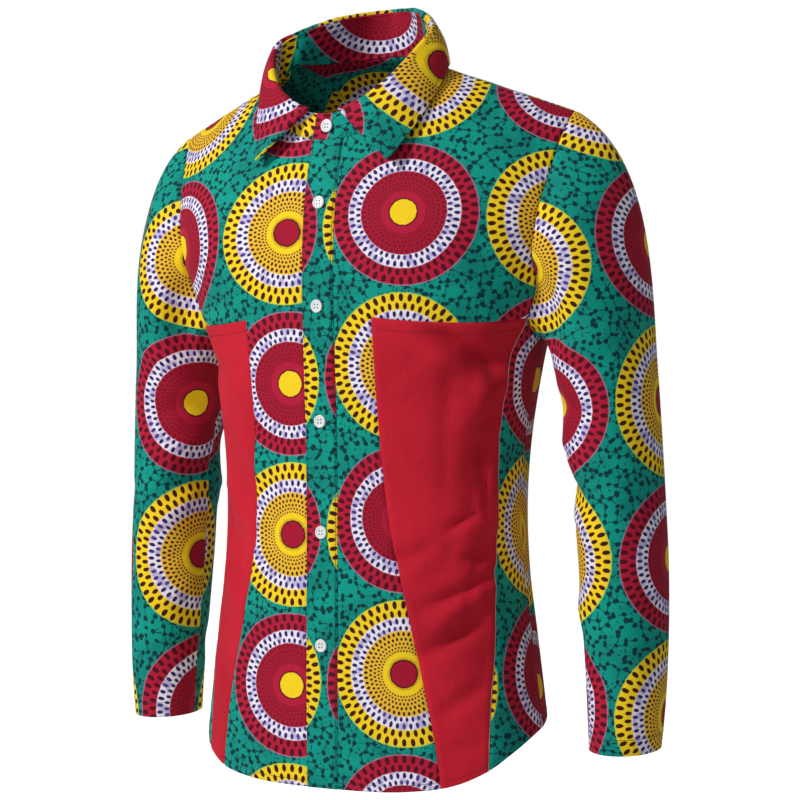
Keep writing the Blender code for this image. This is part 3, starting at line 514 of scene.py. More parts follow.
def smooth_between(places, values, at):
    """Values given at some places, on a smooth curve through them, at other places."""
    places, values = np.asarray(places, float), np.asarray(values, float)
    slope = np.gradient(values, places, axis=0)
    at = np.clip(at, places[0], places[-1])
    i = np.clip(np.searchsorted(places, at) - 1, 0, len(places) - 2)
    step = places[i + 1] - places[i]
    t = (at - places[i]) / step
    for _ in range(values.ndim - 1):
        step, t = step[..., None], t[..., None]
    start = (1 + 2 * t) * (1 - t) ** 2 * values[i] + t * (1 - t) ** 2 * step * slope[i]
    end = t * t * (3 - 2 * t) * values[i + 1] + t * t * (t - 1) * step * slope[i + 1]
    return start + end


def smooth_value(table, column, at):
    rows = np.array(table, float)
    return smooth_between(rows[:, 0], rows[:, column], at)


def length_gone(line):
    """How far along a line each of its points lies."""
    return np.concatenate([[0.0], np.cumsum(np.linalg.norm(np.diff(line, axis=0), axis=1))])


def spread_along(line, shares, points=None):
    """Points of a line at shares of its length, or of the length of its `points`."""
    line = np.array(line, float)
    gone = length_gone(line if points is None else points)
    at = np.asarray(shares) * gone[-1]
    return np.stack([np.interp(at, gone, line[:, k]) for k in range(line.shape[1])], axis=1)


def unit(vectors):
    return vectors / np.maximum(np.linalg.norm(vectors, axis=-1, keepdims=True), 1e-12)


def mirrored(points):
    return points * np.array([-1.0, 1.0, 1.0])


def fold_height(folds, metres_per_degree, degrees, height):
    """How far the folds lift the cloth. Each fades out at its two ends."""
    lift = np.zeros(np.shape(height))
    for degree_a, height_a, degree_b, height_b, half_width, depth in folds:
        along = np.array([(degree_b - degree_a) * metres_per_degree, height_b - height_a])
        length = np.hypot(*along)
        across = ((degrees - degree_a + 180.0) % 360.0 - 180.0) * metres_per_degree
        rise = height - height_a
        gone = (across * along[0] + rise * along[1]) / length**2
        away = (across * along[1] - rise * along[0]) / length
        fade = np.clip(np.minimum(gone + 0.12, 1.12 - gone) / 0.45, 0.0, 1.0)
        lift += depth * np.exp(-((away / half_width) ** 2)) * fade * fade * (3 - 2 * fade)
    return lift


def ridge_height(x, back):
    out = np.abs(x) - NECK_HALF_WIDTH
    inside = np.clip(np.abs(x) / NECK_HALF_WIDTH, 0.0, 1.0)
    over_neck = BACK_NECK_RISE * (1 - inside**2) if back else -SHOULDER_DROP * np.minimum(out, 0.0)
    return NECK_POINT_HEIGHT - SHOULDER_DROP * np.maximum(out, 0.0) + over_neck


def ridge_y(x):
    share = (SHOULDER_POINT_X - np.abs(x)) / (SHOULDER_POINT_X - NECK_HALF_WIDTH)
    return SHOULDER_LINE_Y + (NECK_LINE_Y - SHOULDER_LINE_Y) * share


def signed_power(value):
    return np.sign(value) * np.abs(value) ** (2 / SECTION_POWER)


def body_x(degrees, height):
    return smooth_value(BODY, 1, height) * signed_power(np.sin(np.radians(degrees)))


def degrees_at(x, height, back):
    share = np.clip(np.abs(x) / smooth_value(BODY, 1, height), 0.0, 1.0)
    turned = np.degrees(np.arcsin(share ** (SECTION_POWER / 2)))
    side = np.where(np.asarray(x) < 0, -1.0, 1.0)
    return side * (180.0 - turned) if back else side * turned


def fall_to_drop(fall, back):
    roll = BACK_ROLL if back else FRONT_ROLL
    turned = np.clip(fall / roll, 0.0, math.pi / 2)
    return roll * (1 - np.cos(turned)) + np.maximum(fall - roll * math.pi / 2, 0.0)


def drop_to_fall(drop, back):
    roll = BACK_ROLL if back else FRONT_ROLL
    turned = np.arccos(np.clip(1 - drop / roll, 0.0, 1.0))
    return roll * turned + np.maximum(drop - roll, 0.0)


def fall_of(degrees, height, back):
    drop = ridge_height(body_x(degrees, height), back) - height
    return drop_to_fall(np.maximum(drop, 0.0), back)


def height_of(degrees, fall, back):
    height = -fall_to_drop(fall, back)
    for _ in range(40):
        height = ridge_height(body_x(degrees, height), back) - fall_to_drop(fall, back)
    return height


def body_point(degrees, height, back):
    """Points on the body's smooth surface, with no folds."""
    x = body_x(degrees, height)
    turn = signed_power(np.cos(np.radians(degrees)))
    depth = np.where(turn > 0, -smooth_value(BODY, 2, height), smooth_value(BODY, 3, height))
    flat_y = depth * np.abs(turn)
    roll = BACK_ROLL if back else FRONT_ROLL
    drop = np.clip(ridge_height(x, back) - height, 0.0, roll)
    share = np.sqrt(np.maximum(1 - (1 - drop / roll) ** 2, 0.0)) ** (1.0 if back else FRONT_SLOPE)
    y = ridge_y(x) + (flat_y - ridge_y(x)) * share
    return np.stack([x, y, height + 0.0 * x], axis=-1)


def worn_points(cut, back):
    """The cut's smooth points and the same points with their folds and creases."""
    degrees, height = cut[..., 0], cut[..., 1]
    smooth = body_point(degrees, height, back)
    left_of, right_of = (body_point(degrees + turn, height, back) for turn in (PROBE_DEGREES, -PROBE_DEGREES))
    over, under = (body_point(degrees, height + rise, back) for rise in (PROBE_HEIGHT, -PROBE_HEIGHT))
    outward = unit(np.cross(left_of - right_of, over - under))
    lift = fold_height(BODY_FOLDS + BODY_CREASES, METRES_PER_DEGREE, degrees, height)
    return smooth, smooth + outward * lift[..., None]


def hem_height(degrees):
    return smooth_value(HEM, 1, np.abs(degrees))


def side_seam_line():
    bottom = -0.657
    for _ in range(8):
        bottom = hem_height(smooth_value(SIDE_SEAM, 1, bottom))
    height = np.linspace(bottom, PANEL_TOP, 200)
    return np.stack([smooth_value(SIDE_SEAM, 1, height), height], axis=1)


def shoulder_line(shares, back):
    x = NECK_HALF_WIDTH + (SHOULDER_POINT_X - NECK_HALF_WIDTH) * np.asarray(shares, float)
    height = ridge_height(x, back)
    return np.stack([degrees_at(x, height, back), height], axis=1)


def shoulder_shares():
    inner = SHOULDER_SHARE_OF_PRINT * PRINT
    return np.concatenate([inner, SHOULDER_SHARE_OF_PRINT + (1 - SHOULDER_SHARE_OF_PRINT) * PANEL[1:]])


def curve_through(points):
    points = np.array(points, float)
    at = length_gone(points * [METRES_PER_DEGREE, 1.0])
    return smooth_between(at, points, np.linspace(0.0, at[-1], 400))


def armhole_line(back):
    table = BACK_ARMHOLE if back else FRONT_ARMHOLE
    side = [(degrees_at(x, height, back), height) for height, x in table]
    start = [UNDERARM, *ARMHOLE_BEHIND] if back else [tuple(side_seam_line()[-1])]
    line = curve_through([*start, *side, tuple(shoulder_line([1.0], back)[0])])
    return spread_along(line, UP, body_point(line[:, 0], line[:, 1], back))


def armhole_bottom():
    line = curve_through([tuple(side_seam_line()[-1]), *ARMHOLE_BEFORE, UNDERARM])
    return spread_along(line, SIDE, body_point(line[:, 0], line[:, 1], True))


def underarm_line():
    bottom = hem_height(UNDERARM[0])
    return np.stack([np.full(len(LOW), UNDERARM[0]), bottom + (UNDERARM[1] - bottom) * LOW], axis=1)


def front_neck_height(x):
    return NECK_POINT_HEIGHT - FRONT_NECK_DEPTH * np.sqrt(1 - (x / NECK_HALF_WIDTH) ** 2)


def front_neck_line():
    turn = np.linspace(math.asin(PLACKET_HALF_WIDTH / NECK_HALF_WIDTH), math.pi / 2, 200)
    x = NECK_HALF_WIDTH * np.sin(turn)
    height = front_neck_height(x)
    line = np.stack([degrees_at(x, height, False), height], axis=1)
    return spread_along(line, NECK, body_point(line[:, 0], line[:, 1], False))


def upright_line(x):
    bottom = hem_height(degrees_at(PLACKET_HALF_WIDTH, -0.67, False))
    low = bottom + (PANEL_TOP - bottom) * LOW
    high = PANEL_TOP + (front_neck_height(x) - PANEL_TOP) * OPENING
    height = np.concatenate([low, high[1:]])
    return np.stack([degrees_at(x, height, False), height], axis=1)


def with_fall(line, back):
    line = np.array(line, float)
    return np.stack([line[:, 0], fall_of(line[:, 0], line[:, 1], back)], axis=1)


def with_height(grid, back):
    return np.stack([grid[..., 0], height_of(grid[..., 0], grid[..., 1], back)], axis=-1)


def fill_between(first, last, bottom, top, across_at, up_at, back):
    """A grid of (degrees, height) between two upright lines, a bottom and a top line."""
    first, last, bottom, top = (with_fall(line, back) for line in (first, last, bottom, top))
    u = np.asarray(across_at)[None, :, None]
    v = np.asarray(up_at)[:, None, None]
    between = (1 - u) * first[:, None] + u * last[:, None]
    across = (1 - v) * bottom[None] + v * top[None]
    corners = (1 - u) * (1 - v) * first[0] + u * (1 - v) * last[0]
    corners = corners + (1 - u) * v * first[-1] + u * v * last[-1]
    return with_height(between + across - corners, back)


def hem_line(first, last, shares):
    degrees = first + (last - first) * np.asarray(shares)
    folded = np.where(degrees > 180.0, 360.0 - degrees, degrees)
    return np.stack([degrees, hem_height(folded)], axis=1)


ALL_PARTS = LOW_PARTS + UP_PARTS
ROW_PLACES = np.concatenate([LOW * LOW_PARTS / ALL_PARTS, (LOW_PARTS + UP_PARTS * UP[1:]) / ALL_PARTS])


def panel_edge(table):
    bottom = -0.66
    for _ in range(8):
        bottom = hem_height(degrees_at(smooth_value(table, 1, bottom), bottom, False))
    height = bottom + (PANEL_TOP - bottom) * LOW
    low = np.stack([degrees_at(smooth_value(table, 1, height), height, False), height], axis=1)
    start = with_fall(low[-1:], False)[0]
    end = with_fall(shoulder_line([SHOULDER_SHARE_OF_PRINT], False), False)[0]
    rise = start + (end - start) * UP[:, None]
    return np.concatenate([low, with_height(rise, False)[1:]])


def front_cut(table):
    """Grid of one front for the wearer's left. Column 0 is beside the placket."""
    inner = np.concatenate([upright_line(PLACKET_HALF_WIDTH), front_neck_line()[1:]])
    outer = np.concatenate([spread_along(side_seam_line(), LOW), armhole_line(False)[1:]])
    middle = panel_edge(table)
    top = shoulder_line(shoulder_shares(), False)
    low_print = hem_line(inner[0, 0], middle[0, 0], PRINT)
    low_plain = hem_line(middle[0, 0], outer[0, 0], PANEL)
    printed = fill_between(inner, middle, low_print, top[: len(PRINT)], PRINT, ROW_PLACES, False)
    plain = fill_between(middle, outer, low_plain, top[len(PRINT) - 1 :], PANEL, ROW_PLACES, False)
    return np.concatenate([printed, plain[:, 1:]], axis=1)


def laid_flat(points, row=0, column=0, most=18, level=False, straight=None):
    """Where a grid's points lie once the cloth is laid flat, in metres across and up.

    The column stays straight up to the row `straight`, as it lies along the thread, or the
    row stays straight where `level` is set.
    """
    rows = np.unique(np.linspace(0, len(points) - 1, most).round().astype(int))
    columns = np.unique(np.linspace(0, points.shape[1] - 1, most).round().astype(int))
    grid = points[np.ix_(rows, columns)]
    k = int(np.argmin(np.abs(rows - row)))
    m = int(np.argmin(np.abs(columns - column)))
    flat = np.zeros(grid.shape[:2] + (2,))
    wide = np.linalg.norm(np.diff(grid, axis=1), axis=2)
    tall = np.linalg.norm(np.diff(grid, axis=0), axis=2)
    flat[:, 1:, 0] = np.cumsum(wide, axis=1)
    flat[..., 0] -= flat[:, m : m + 1, 0]
    flat[1:, :, 1] = np.cumsum(tall, axis=0)
    flat[..., 1] -= flat[k : k + 1, :, 1]
    upright = rows <= (len(points) if straight is None else straight)
    if not level:
        flat[..., 1] += grid[k : k + 1, :, 2] - grid[k, m, 2]
        flat[~upright, :, 0] += np.abs(grid[~upright, m, 0] - grid[k, m, 0])[:, None]
    pairs = []
    for down, over in ((0, 1), (1, 0), (1, 1), (1, -1)):
        high = slice(0, len(rows) - down), slice(max(0, -over), len(columns) - max(0, over))
        low = slice(down, len(rows)), slice(max(0, over), len(columns) + min(0, over))
        pairs.append((high, low, np.linalg.norm(grid[low] - grid[high], axis=2)))
    for _ in range(900):
        push = np.zeros_like(flat)
        for high, low, rest in pairs:
            between = flat[low] - flat[high]
            length = np.maximum(np.linalg.norm(between, axis=2), 1e-9)
            move = between * (0.5 * (length - rest) / length)[..., None]
            push[high] += move
            push[low] -= move
        flat += push * 0.3
        flat -= flat[k, m]
        if level:
            flat[k, :, 1] = 0.0
        else:
            flat[upright, m, 0] = 0.0
    wide = [length_gone(points[row]) for row in rows]
    wide = np.array([smooth_between(gone[columns], line, gone) for gone, line in zip(wide, flat)])
    tall = [length_gone(points[:, column]) for column in range(points.shape[1])]
    tall = [smooth_between(gone[rows], wide[:, column], gone) for column, gone in enumerate(tall)]
    return np.array(tall).swapaxes(0, 1)


SEAM_POINTS = []
SEAM_REACH = 0.014
SEAM_SINK = 0.0007
SEAM_HALF_WIDTH = 0.0016
PUCKER_LIFT = 0.00035
PUCKER_WAVE = 0.00030
PUCKER_AWAY = 0.0050
PUCKER_HALF_WIDTH = 0.0032


def seam(points):
    """Marks a sewn line, so that the cloth beside it is drawn in and puckers a little."""
    SEAM_POINTS.append(np.asarray(points).reshape(-1, 3))


def cloth_area(points, keep):
    corner = [points[:-1, :-1], points[:-1, 1:], points[1:, 1:], points[1:, :-1]]
    square = np.linalg.norm(np.cross(corner[2] - corner[0], corner[3] - corner[1]), axis=2) / 2
    return float(square[keep].sum())


def sew_up(name, grids, thickness, material, node, hub=(0.0, 0.0)):
    """A thin closed wall on grids: (worn points, flat places, print places, faces to keep)."""
    mesh = bmesh.new()
    uv = mesh.loops.layers.uv.new("cloth")
    area, places = 0.0, []
    for points, flat, printed, keep in grids:
        keep = np.ones((len(points) - 1, points.shape[1] - 1), bool) if keep is None else keep
        corners = np.zeros(points.shape[:2], bool)
        for down, over in ((0, 0), (1, 0), (0, 1), (1, 1)):
            corners[down : down + keep.shape[0], over : over + keep.shape[1]] |= keep
        made = {}
        for r, c in np.argwhere(corners):
            made[r, c] = mesh.verts.new(points[r, c])
        for r, c in np.argwhere(keep):
            square = ((r, c), (r, c + 1), (r + 1, c + 1), (r + 1, c))
            face = mesh.faces.new([made[at] for at in square])
            face.smooth = True
            for loop, at in zip(face.loops, square):
                loop[uv].uv = printed[at]
        area += cloth_area(points, keep)
        places.append(flat[corners])
    bmesh.ops.remove_doubles(mesh, verts=mesh.verts, dist=0.00002)
    bmesh.ops.recalc_face_normals(mesh, faces=mesh.faces)
    mesh.normal_update()
    facing = 0.0
    for face in mesh.faces:
        middle = face.calc_center_median()
        facing += face.normal.x * (middle.x - hub[0]) + face.normal.y * (middle.y - hub[1])
    if facing < 0:
        bmesh.ops.reverse_faces(mesh, faces=mesh.faces)
    tree = KDTree(sum(len(points) for points in SEAM_POINTS))
    number = 0
    for points in SEAM_POINTS:
        for point in points:
            tree.insert(point, number)
            number += 1
    tree.balance()
    mesh.normal_update()
    moves = []
    for vert in mesh.verts:
        near, _, apart = tree.find(vert.co)
        if apart > SEAM_REACH:
            continue
        short_wave = math.sin(near.z * 520.0 + near.x * 340.0)
        long_wave = math.sin(near.z * 213.0 - near.y * 420.0)
        pucker = short_wave * 0.5 + long_wave * 0.5
        depth = -SEAM_SINK * math.exp(-((apart / SEAM_HALF_WIDTH) ** 2))
        beside = math.exp(-(((apart - PUCKER_AWAY) / PUCKER_HALF_WIDTH) ** 2))
        depth += (PUCKER_LIFT + PUCKER_WAVE * pucker) * beside
        moves.append((vert, vert.normal * depth))
    for vert, move in moves:
        vert.co += move
    data = bpy.data.meshes.new(name)
    mesh.to_mesh(data)
    mesh.free()
    piece = bpy.data.objects.new(name, data)
    scene.collection.objects.link(piece)
    data.materials.append(material)
    wall = piece.modifiers.new("Wall", "SOLIDIFY")
    wall.thickness = thickness
    wall.offset = 0.0
    wall.use_even_offset = False
    wall.use_quality_normals = False
    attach(piece, "root")
    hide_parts(node)
    places = np.concatenate(places)
    return piece


left_cut, right_cut = front_cut(LEFT_PANEL_EDGE), front_cut(RIGHT_PANEL_EDGE)
left_smooth, left_worn = worn_points(left_cut, False)
right_cut = right_cut * [-1.0, 1.0]
right_smooth, right_worn = worn_points(right_cut, False)
neck_row = len(LOW) + len(OPENING) - 2
left_flat = laid_flat(left_smooth, row=len(LOW), column=0, most=26, straight=neck_row)
right_flat = laid_flat(right_smooth, row=len(LOW), column=0, most=26, straight=neck_row)
right_flat = right_flat * [-1.0, 1.0]

# How far each flat piece lies from a crimson disc's middle, across and up. Only the print is
# wider on the right front and larger on the right sleeve, and their cut is not.
RIGHT_FRONT_STRETCH = np.array([1.14, 1.0])
LEFT_FRONT_PRINT = (-0.067, -0.0985)
RIGHT_FRONT_PRINT = (0.159, -0.082)

plain_faces = np.zeros((len(ROW_PLACES) - 1, len(PRINT) + len(PANEL) - 2), bool)
plain_faces[: len(LOW) - 1, len(PRINT) - 1 :] = True
for worn in (left_worn, right_worn):
    seam(worn[:, -1])
    seam(worn[-1])
    seam(worn[: neck_row + 1, 0])
    seam(worn[neck_row:, 0])
    seam(worn[: len(LOW), len(PRINT) - 1])
    seam(worn[len(LOW) - 1, len(PRINT) - 1 :])

LAP = uneven(12)
LAP_SLOPE = 6.0
lap_places = [PLACKET_HALF_WIDTH - (PLACKET_HALF_WIDTH + UNDERLAP_EDGE) * share for share in LAP]
lap_cut = np.stack([upright_line(x) for x in lap_places], axis=1) * [-1.0, 1.0]
lap_smooth, lap_worn = worn_points(lap_cut, False)
lap_worn = lap_worn + np.array([0.0, UNDERLAP_DEPTH, 0.0]) * np.clip(LAP * LAP_SLOPE, 0.0, 1.0)[None, :, None]
lap_flat = laid_flat(lap_smooth, row=len(LOW), column=0)

sew_up(
    "front_left_cloth",
    [(left_worn, left_flat, left_flat + LEFT_FRONT_PRINT, ~plain_faces)],
    CLOTH, print_cloth, "front_left",
)
sew_up(
    "front_right_cloth",
    [
        (right_worn, right_flat, right_flat / RIGHT_FRONT_STRETCH + RIGHT_FRONT_PRINT, ~plain_faces),
        (lap_worn, lap_flat, lap_flat / RIGHT_FRONT_STRETCH + RIGHT_FRONT_PRINT, None),
    ],
    CLOTH, print_cloth, "front_right",
)

# Red panels: plain crimson cotton let into the fronts from below the armhole to the hem.
# Their top and inner edges are sewn into the print, and the outer edge into the side seam.

PANEL_RED = (0.590, 0.011, 0.030, 1.0)
PANEL_RED_DEEP = (0.470, 0.007, 0.022, 1.0)


def plain_cotton():
    material, tree, shader = new_material("plain_red_cotton_cloth")
    cloth = add_node(tree, "UVMap", uv_map="cloth").outputs[0]
    cloud = noise(tree, cloth, 9.0, 3.0).outputs[0]
    dyed = painted(tree, within(tree, cloud, 0.52, 2.0, 0.12), PANEL_RED, PANEL_RED_DEEP)
    cotton_shader(tree, shader, dyed, cloth, 0.0026, 0.70)
    return material


red_cloth = plain_cotton()
for side, worn, flat in (("left", left_worn, left_flat), ("right", right_worn, right_flat)):
    sew_up(
        f"red_panel_{side}_cloth",
        [(worn, flat, flat, plain_faces)],
        CLOTH, red_cloth, f"red_panel_{side}",
    )

# Back: wax print from side seam to side seam, with drag folds across the small of the back.
# A seam below the neck parts the yoke from it, as the print inside the neck doesn't run on.

BACK_PRINT = (-0.0492, -0.107)
YOKE_PRINT = (0.067, -0.0895)
YOKE_HEIGHT = -0.075
PRINT_PARTS = 5
PANEL_PARTS = 6
NECK_PARTS = 8
BACK_PARTS = 2 * (PRINT_PARTS + PANEL_PARTS) + NECK_PARTS


def side_cut():
    line, under = spread_along(side_seam_line(), LOW), underarm_line()
    bottom = hem_line(line[0, 0], under[0, 0], SIDE)
    return fill_between(line, under, bottom, armhole_bottom(), SIDE, LOW, True)


def back_neck_line():
    turn = np.linspace(math.pi / 2, -math.pi / 2, 401)
    x = NECK_HALF_WIDTH * np.sin(turn)
    height = NECK_POINT_HEIGHT + (BACK_NECK_HEIGHT - NECK_POINT_HEIGHT) * np.cos(turn)
    degrees = degrees_at(np.abs(x), height, True)
    line = np.stack([np.where(x < 0, 360.0 - degrees, degrees), height], axis=1)
    return spread_along(line, BACK_NECK, body_point(line[:, 0], line[:, 1], True))


def back_cut():
    left = np.concatenate([underarm_line(), armhole_line(True)[1:]])
    right = np.stack([360.0 - left[:, 0], left[:, 1]], axis=1)
    shoulder = shoulder_line(shoulder_shares(), True)[::-1]
    far_shoulder = np.stack([360.0 - shoulder[:, 0], shoulder[:, 1]], axis=1)[::-1]
    top = np.concatenate([shoulder, back_neck_line()[1:-1], far_shoulder])
    printed = PRINT * PRINT_PARTS / BACK_PARTS
    front = np.concatenate([printed, (PRINT_PARTS + PANEL_PARTS * PANEL[1:]) / BACK_PARTS])
    near_neck = (PRINT_PARTS + PANEL_PARTS) / BACK_PARTS
    far_neck = (PRINT_PARTS + PANEL_PARTS + NECK_PARTS) / BACK_PARTS
    neck = near_neck + NECK_PARTS / BACK_PARTS * BACK_NECK[1:-1]
    places = np.concatenate([near_neck - front[::-1], neck, far_neck + front])
    bottom = hem_line(left[0, 0], right[0, 0], places)
    return fill_between(left, right, bottom, top, places, ROW_PLACES, True)


rear_cut = back_cut()
rear_smooth, rear_worn = worn_points(rear_cut, True)
near_cut = side_cut()
near_smooth, near_worn = worn_points(near_cut, True)
far_smooth, far_worn = worn_points(near_cut * [-1.0, 1.0], True)
middle_column = rear_worn.shape[1] // 2
rear_flat = laid_flat(rear_smooth, row=len(LOW), column=middle_column, most=30) * [-1.0, 1.0]
near_flat = laid_flat(near_smooth, row=len(LOW) - 1, column=near_smooth.shape[1] - 1) * [-1.0, 1.0]
far_flat = laid_flat(far_smooth, row=len(LOW) - 1, column=far_smooth.shape[1] - 1)
near_flat = near_flat + (rear_flat[len(LOW) - 1, 0] - near_flat[-1, -1])
far_flat = far_flat + (rear_flat[len(LOW) - 1, -1] - far_flat[-1, -1])
neck_columns = slice(len(PRINT) + len(PANEL) - 2, len(PRINT) + len(PANEL) - 2 + len(BACK_NECK))
seam(rear_worn[-1, neck_columns])
seam(near_worn[-1])
seam(far_worn[-1])
yoke_row = int(np.argmin(np.abs(rear_worn[:, middle_column, 2] - YOKE_HEIGHT)))
seam(rear_worn[yoke_row])
for edge in (0, -1):
    seam(rear_worn[len(LOW) - 1 :, edge])
sew_up(
    "back_cloth",
    [
        (rear_worn[: yoke_row + 1], rear_flat[: yoke_row + 1], rear_flat[: yoke_row + 1] + BACK_PRINT, None),
        (rear_worn[yoke_row:], rear_flat[yoke_row:], rear_flat[yoke_row:] + YOKE_PRINT, None),
        (near_worn, near_flat, near_flat + BACK_PRINT, None),
        (far_worn, far_flat, far_flat + BACK_PRINT, None),
    ],
    CLOTH, print_cloth, "back",
)

# Placket: a doubled strip of wax print, sewn to the left front and lying over the right
# one. Its print runs on from neither front, so only slivers of discs show on it.

PLACKET_CLOTH = 0.0016
PLACKET_PRINT = (0.0855, -0.0877)
PLACKET_LIFT = 0.0008
STRIP = uneven(10)
STRIP_SLOPE = 8.0
strip_places = [PLACKET_HALF_WIDTH - 2 * PLACKET_HALF_WIDTH * share for share in STRIP]
strip_cut = np.stack([upright_line(x) for x in strip_places], axis=1)
strip_smooth, strip_worn = worn_points(strip_cut, False)
strip_lift = np.clip(STRIP * STRIP_SLOPE, 0.0, 1.0)[None, :, None]
strip_worn = strip_worn + np.array([0.0, -PLACKET_LIFT, 0.0]) * strip_lift
strip_flat = laid_flat(strip_smooth, row=len(LOW), column=0) * [-1.0, 1.0]
sew_up(
    "placket_cloth",
    [(strip_worn, strip_flat, strip_flat + PLACKET_PRINT, None)],
    PLACKET_CLOTH, print_cloth, "placket",
)

# Sleeves: one piece of wax print each, set into the armhole and closed under the arm.
# They hang a little bent, with folds inside the elbow and a plain turned-up end.

# Height, middle's x and y, half width, half depth
ARM = (
    (-0.645, 0.2575, 0.0145, 0.0325, 0.0375),
    (-0.600, 0.2585, 0.0155, 0.0355, 0.0405),
    (-0.540, 0.2575, 0.0175, 0.0385, 0.0440),
    (-0.470, 0.2545, 0.0185, 0.0410, 0.0470),
    (-0.410, 0.2510, 0.0185, 0.0415, 0.0480),
    (-0.350, 0.2455, 0.0165, 0.0440, 0.0505),
    (-0.300, 0.2400, 0.0150, 0.0465, 0.0535),
)
BICEPS_HEIGHT = -0.300
CUFF_HEIGHT = -0.641
CUFF_TILT = 0.003
ARM_FOLDS = (
    (150.0, -0.285, 60.0, -0.255, 0.013, 0.0040),
    (170.0, -0.315, 80.0, -0.330, 0.013, -0.0040),
    (175.0, -0.345, 95.0, -0.385, 0.013, 0.0040),
    (190.0, -0.375, 100.0, -0.425, 0.013, -0.0040),
    (160.0, -0.415, 70.0, -0.455, 0.014, 0.0035),
    (200.0, -0.350, 285.0, -0.395, 0.014, -0.0040),
    (195.0, -0.395, 280.0, -0.425, 0.014, 0.0040),
    (180.0, -0.500, 110.0, -0.530, 0.014, 0.0030),
    (200.0, -0.560, 270.0, -0.585, 0.014, -0.0025),
    (60.0, -0.560, 130.0, -0.590, 0.013, -0.0025),
    (210.0, -0.280, 290.0, -0.230, 0.016, -0.0045),
)
ARM_CREASES = (
    (165.0, -0.360, 110.0, -0.372, 0.0050, -0.0016),
    (170.0, -0.392, 105.0, -0.402, 0.0050, -0.0018),
    (168.0, -0.425, 120.0, -0.440, 0.0055, -0.0014),
    (150.0, -0.470, 90.0, -0.490, 0.0080, -0.0014),
    (30.0, -0.400, 70.0, -0.430, 0.0080, -0.0012),
    (210.0, -0.410, 250.0, -0.408, 0.0055, -0.0016),
    (230.0, -0.520, 280.0, -0.540, 0.0080, -0.0014),
    (120.0, -0.240, 90.0, -0.180, 0.0090, -0.0014),
    (60.0, -0.620, 120.0, -0.610, 0.0060, -0.0010),
)
ARM_METRES_PER_DEGREE = 0.00078
CAP_ROWS = 44
ARM_ROWS = 96
LEFT_SLEEVE_PRINT = (-0.0105, -0.2207)
RIGHT_SLEEVE_PRINT = (0.0274, -0.2147)
RIGHT_SLEEVE_STRETCH = 1.12


def arm_ring(height, turn):
    centre_x, centre_y, half_width, half_depth = (smooth_value(ARM, k, height) for k in (1, 2, 3, 4))
    x = centre_x + half_width * np.cos(turn)
    y = centre_y - half_depth * np.sin(turn)
    return np.stack([x, y, height + 0.0 * x], axis=-1)


def sleeve_rows(armhole):
    """Rows from the armhole over the cap and down the arm, and the turn of each column."""
    closed = np.concatenate([armhole, armhole[:1]])
    gone = length_gone(closed)
    turn = 2 * math.pi * gone[:-1] / gone[-1]
    biceps = arm_ring(np.full(len(turn), BICEPS_HEIGHT), turn)
    reach = np.linalg.norm(biceps - armhole, axis=1)[:, None]
    top = np.cos(turn)
    leave = unit(np.stack([np.ones(len(turn)), -0.35 * np.sin(turn), -0.35 - 0.2 * top], axis=1))
    hang = unit(np.array([0.09, 0.01, -1.0]))
    rows = []
    for t in uneven(CAP_ROWS):
        start = (1 + 2 * t) * (1 - t) ** 2 * armhole + t * (1 - t) ** 2 * reach * leave
        end = t * t * (3 - 2 * t) * biceps + t * t * (t - 1) * reach * hang
        rows.append(start + end)
    for share in uneven(ARM_ROWS)[1:]:
        level = BICEPS_HEIGHT + (CUFF_HEIGHT - BICEPS_HEIGHT) * share
        rows.append(arm_ring(level - CUFF_TILT * share * np.sin(turn), turn))
    return np.array(rows), np.degrees(turn)


def cut_open(rows, column):
    """A closed tube's columns as an open grid, from the sleeve's own seam round to it."""
    return np.concatenate([rows[:, column:], rows[:, : column + 1]], axis=1)


def worn_sleeve(armhole, seam_column):
    rows, turn = sleeve_rows(armhole)
    around = np.roll(rows, -1, axis=1) - np.roll(rows, 1, axis=1)
    normal = unit(np.cross(around, np.gradient(rows, axis=0)))
    outward = rows - rows.mean(axis=1, keepdims=True)
    normal = normal * np.sign((normal * outward)[-20:].sum())
    degrees = turn[None, :] + 0.0 * rows[..., 2]
    lift = fold_height(ARM_FOLDS + ARM_CREASES, ARM_METRES_PER_DEGREE, degrees, rows[..., 2])
    # The shorter end steps add four rows to the cap
    share = np.arange(len(rows)) / (CAP_ROWS + 4.0)
    ease = np.clip((share * 7.0 - 1.0) / 4.0, 0.0, 1.0)[:, None]
    worn = rows + normal * (lift * ease)[..., None]
    return cut_open(rows, seam_column), cut_open(worn, seam_column)


sleeves = {}
for side, front, bottom, rear_edge, shift in (
    ("left", left_worn, near_worn[-1], rear_worn[len(LOW) - 1 :, 0], LEFT_SLEEVE_PRINT),
    ("right", right_worn, far_worn[-1], rear_worn[len(LOW) - 1 :, -1], RIGHT_SLEEVE_PRINT),
):
    front_edge = front[len(LOW) - 1 :, -1]
    hole = np.concatenate([front_edge[::-1], bottom[1:], rear_edge[1:-1]])
    seam_column = len(front_edge) + len(bottom) - 2
    if side == "right":
        smooth, worn = (mirrored(points) for points in worn_sleeve(mirrored(hole), seam_column))
    else:
        smooth, worn = worn_sleeve(hole, seam_column)
    top_column = smooth.shape[1] - 1 - seam_column
    flat = laid_flat(smooth[::-1], row=len(smooth) // 2, column=top_column, most=26)[::-1]
    flat = flat * ([-1.0, 1.0] if side == "left" else [1.0, 1.0])
    stretch = 1.0 if side == "left" else RIGHT_SLEEVE_STRETCH
    hub = worn[-1].mean(axis=0)
    seam(worn[0])
    sew_up(
        f"sleeve_{side}_cloth",
        [(worn, flat, flat / stretch + shift, None)],
        CLOTH, print_cloth, f"sleeve_{side}", hub=(hub[0], hub[1]),
    )
    sleeves[side] = worn

# Collar: a doubled, stiffened stand sewn round the neck, and a doubled leaf of the same
# print that folds over it and ends in two long points.

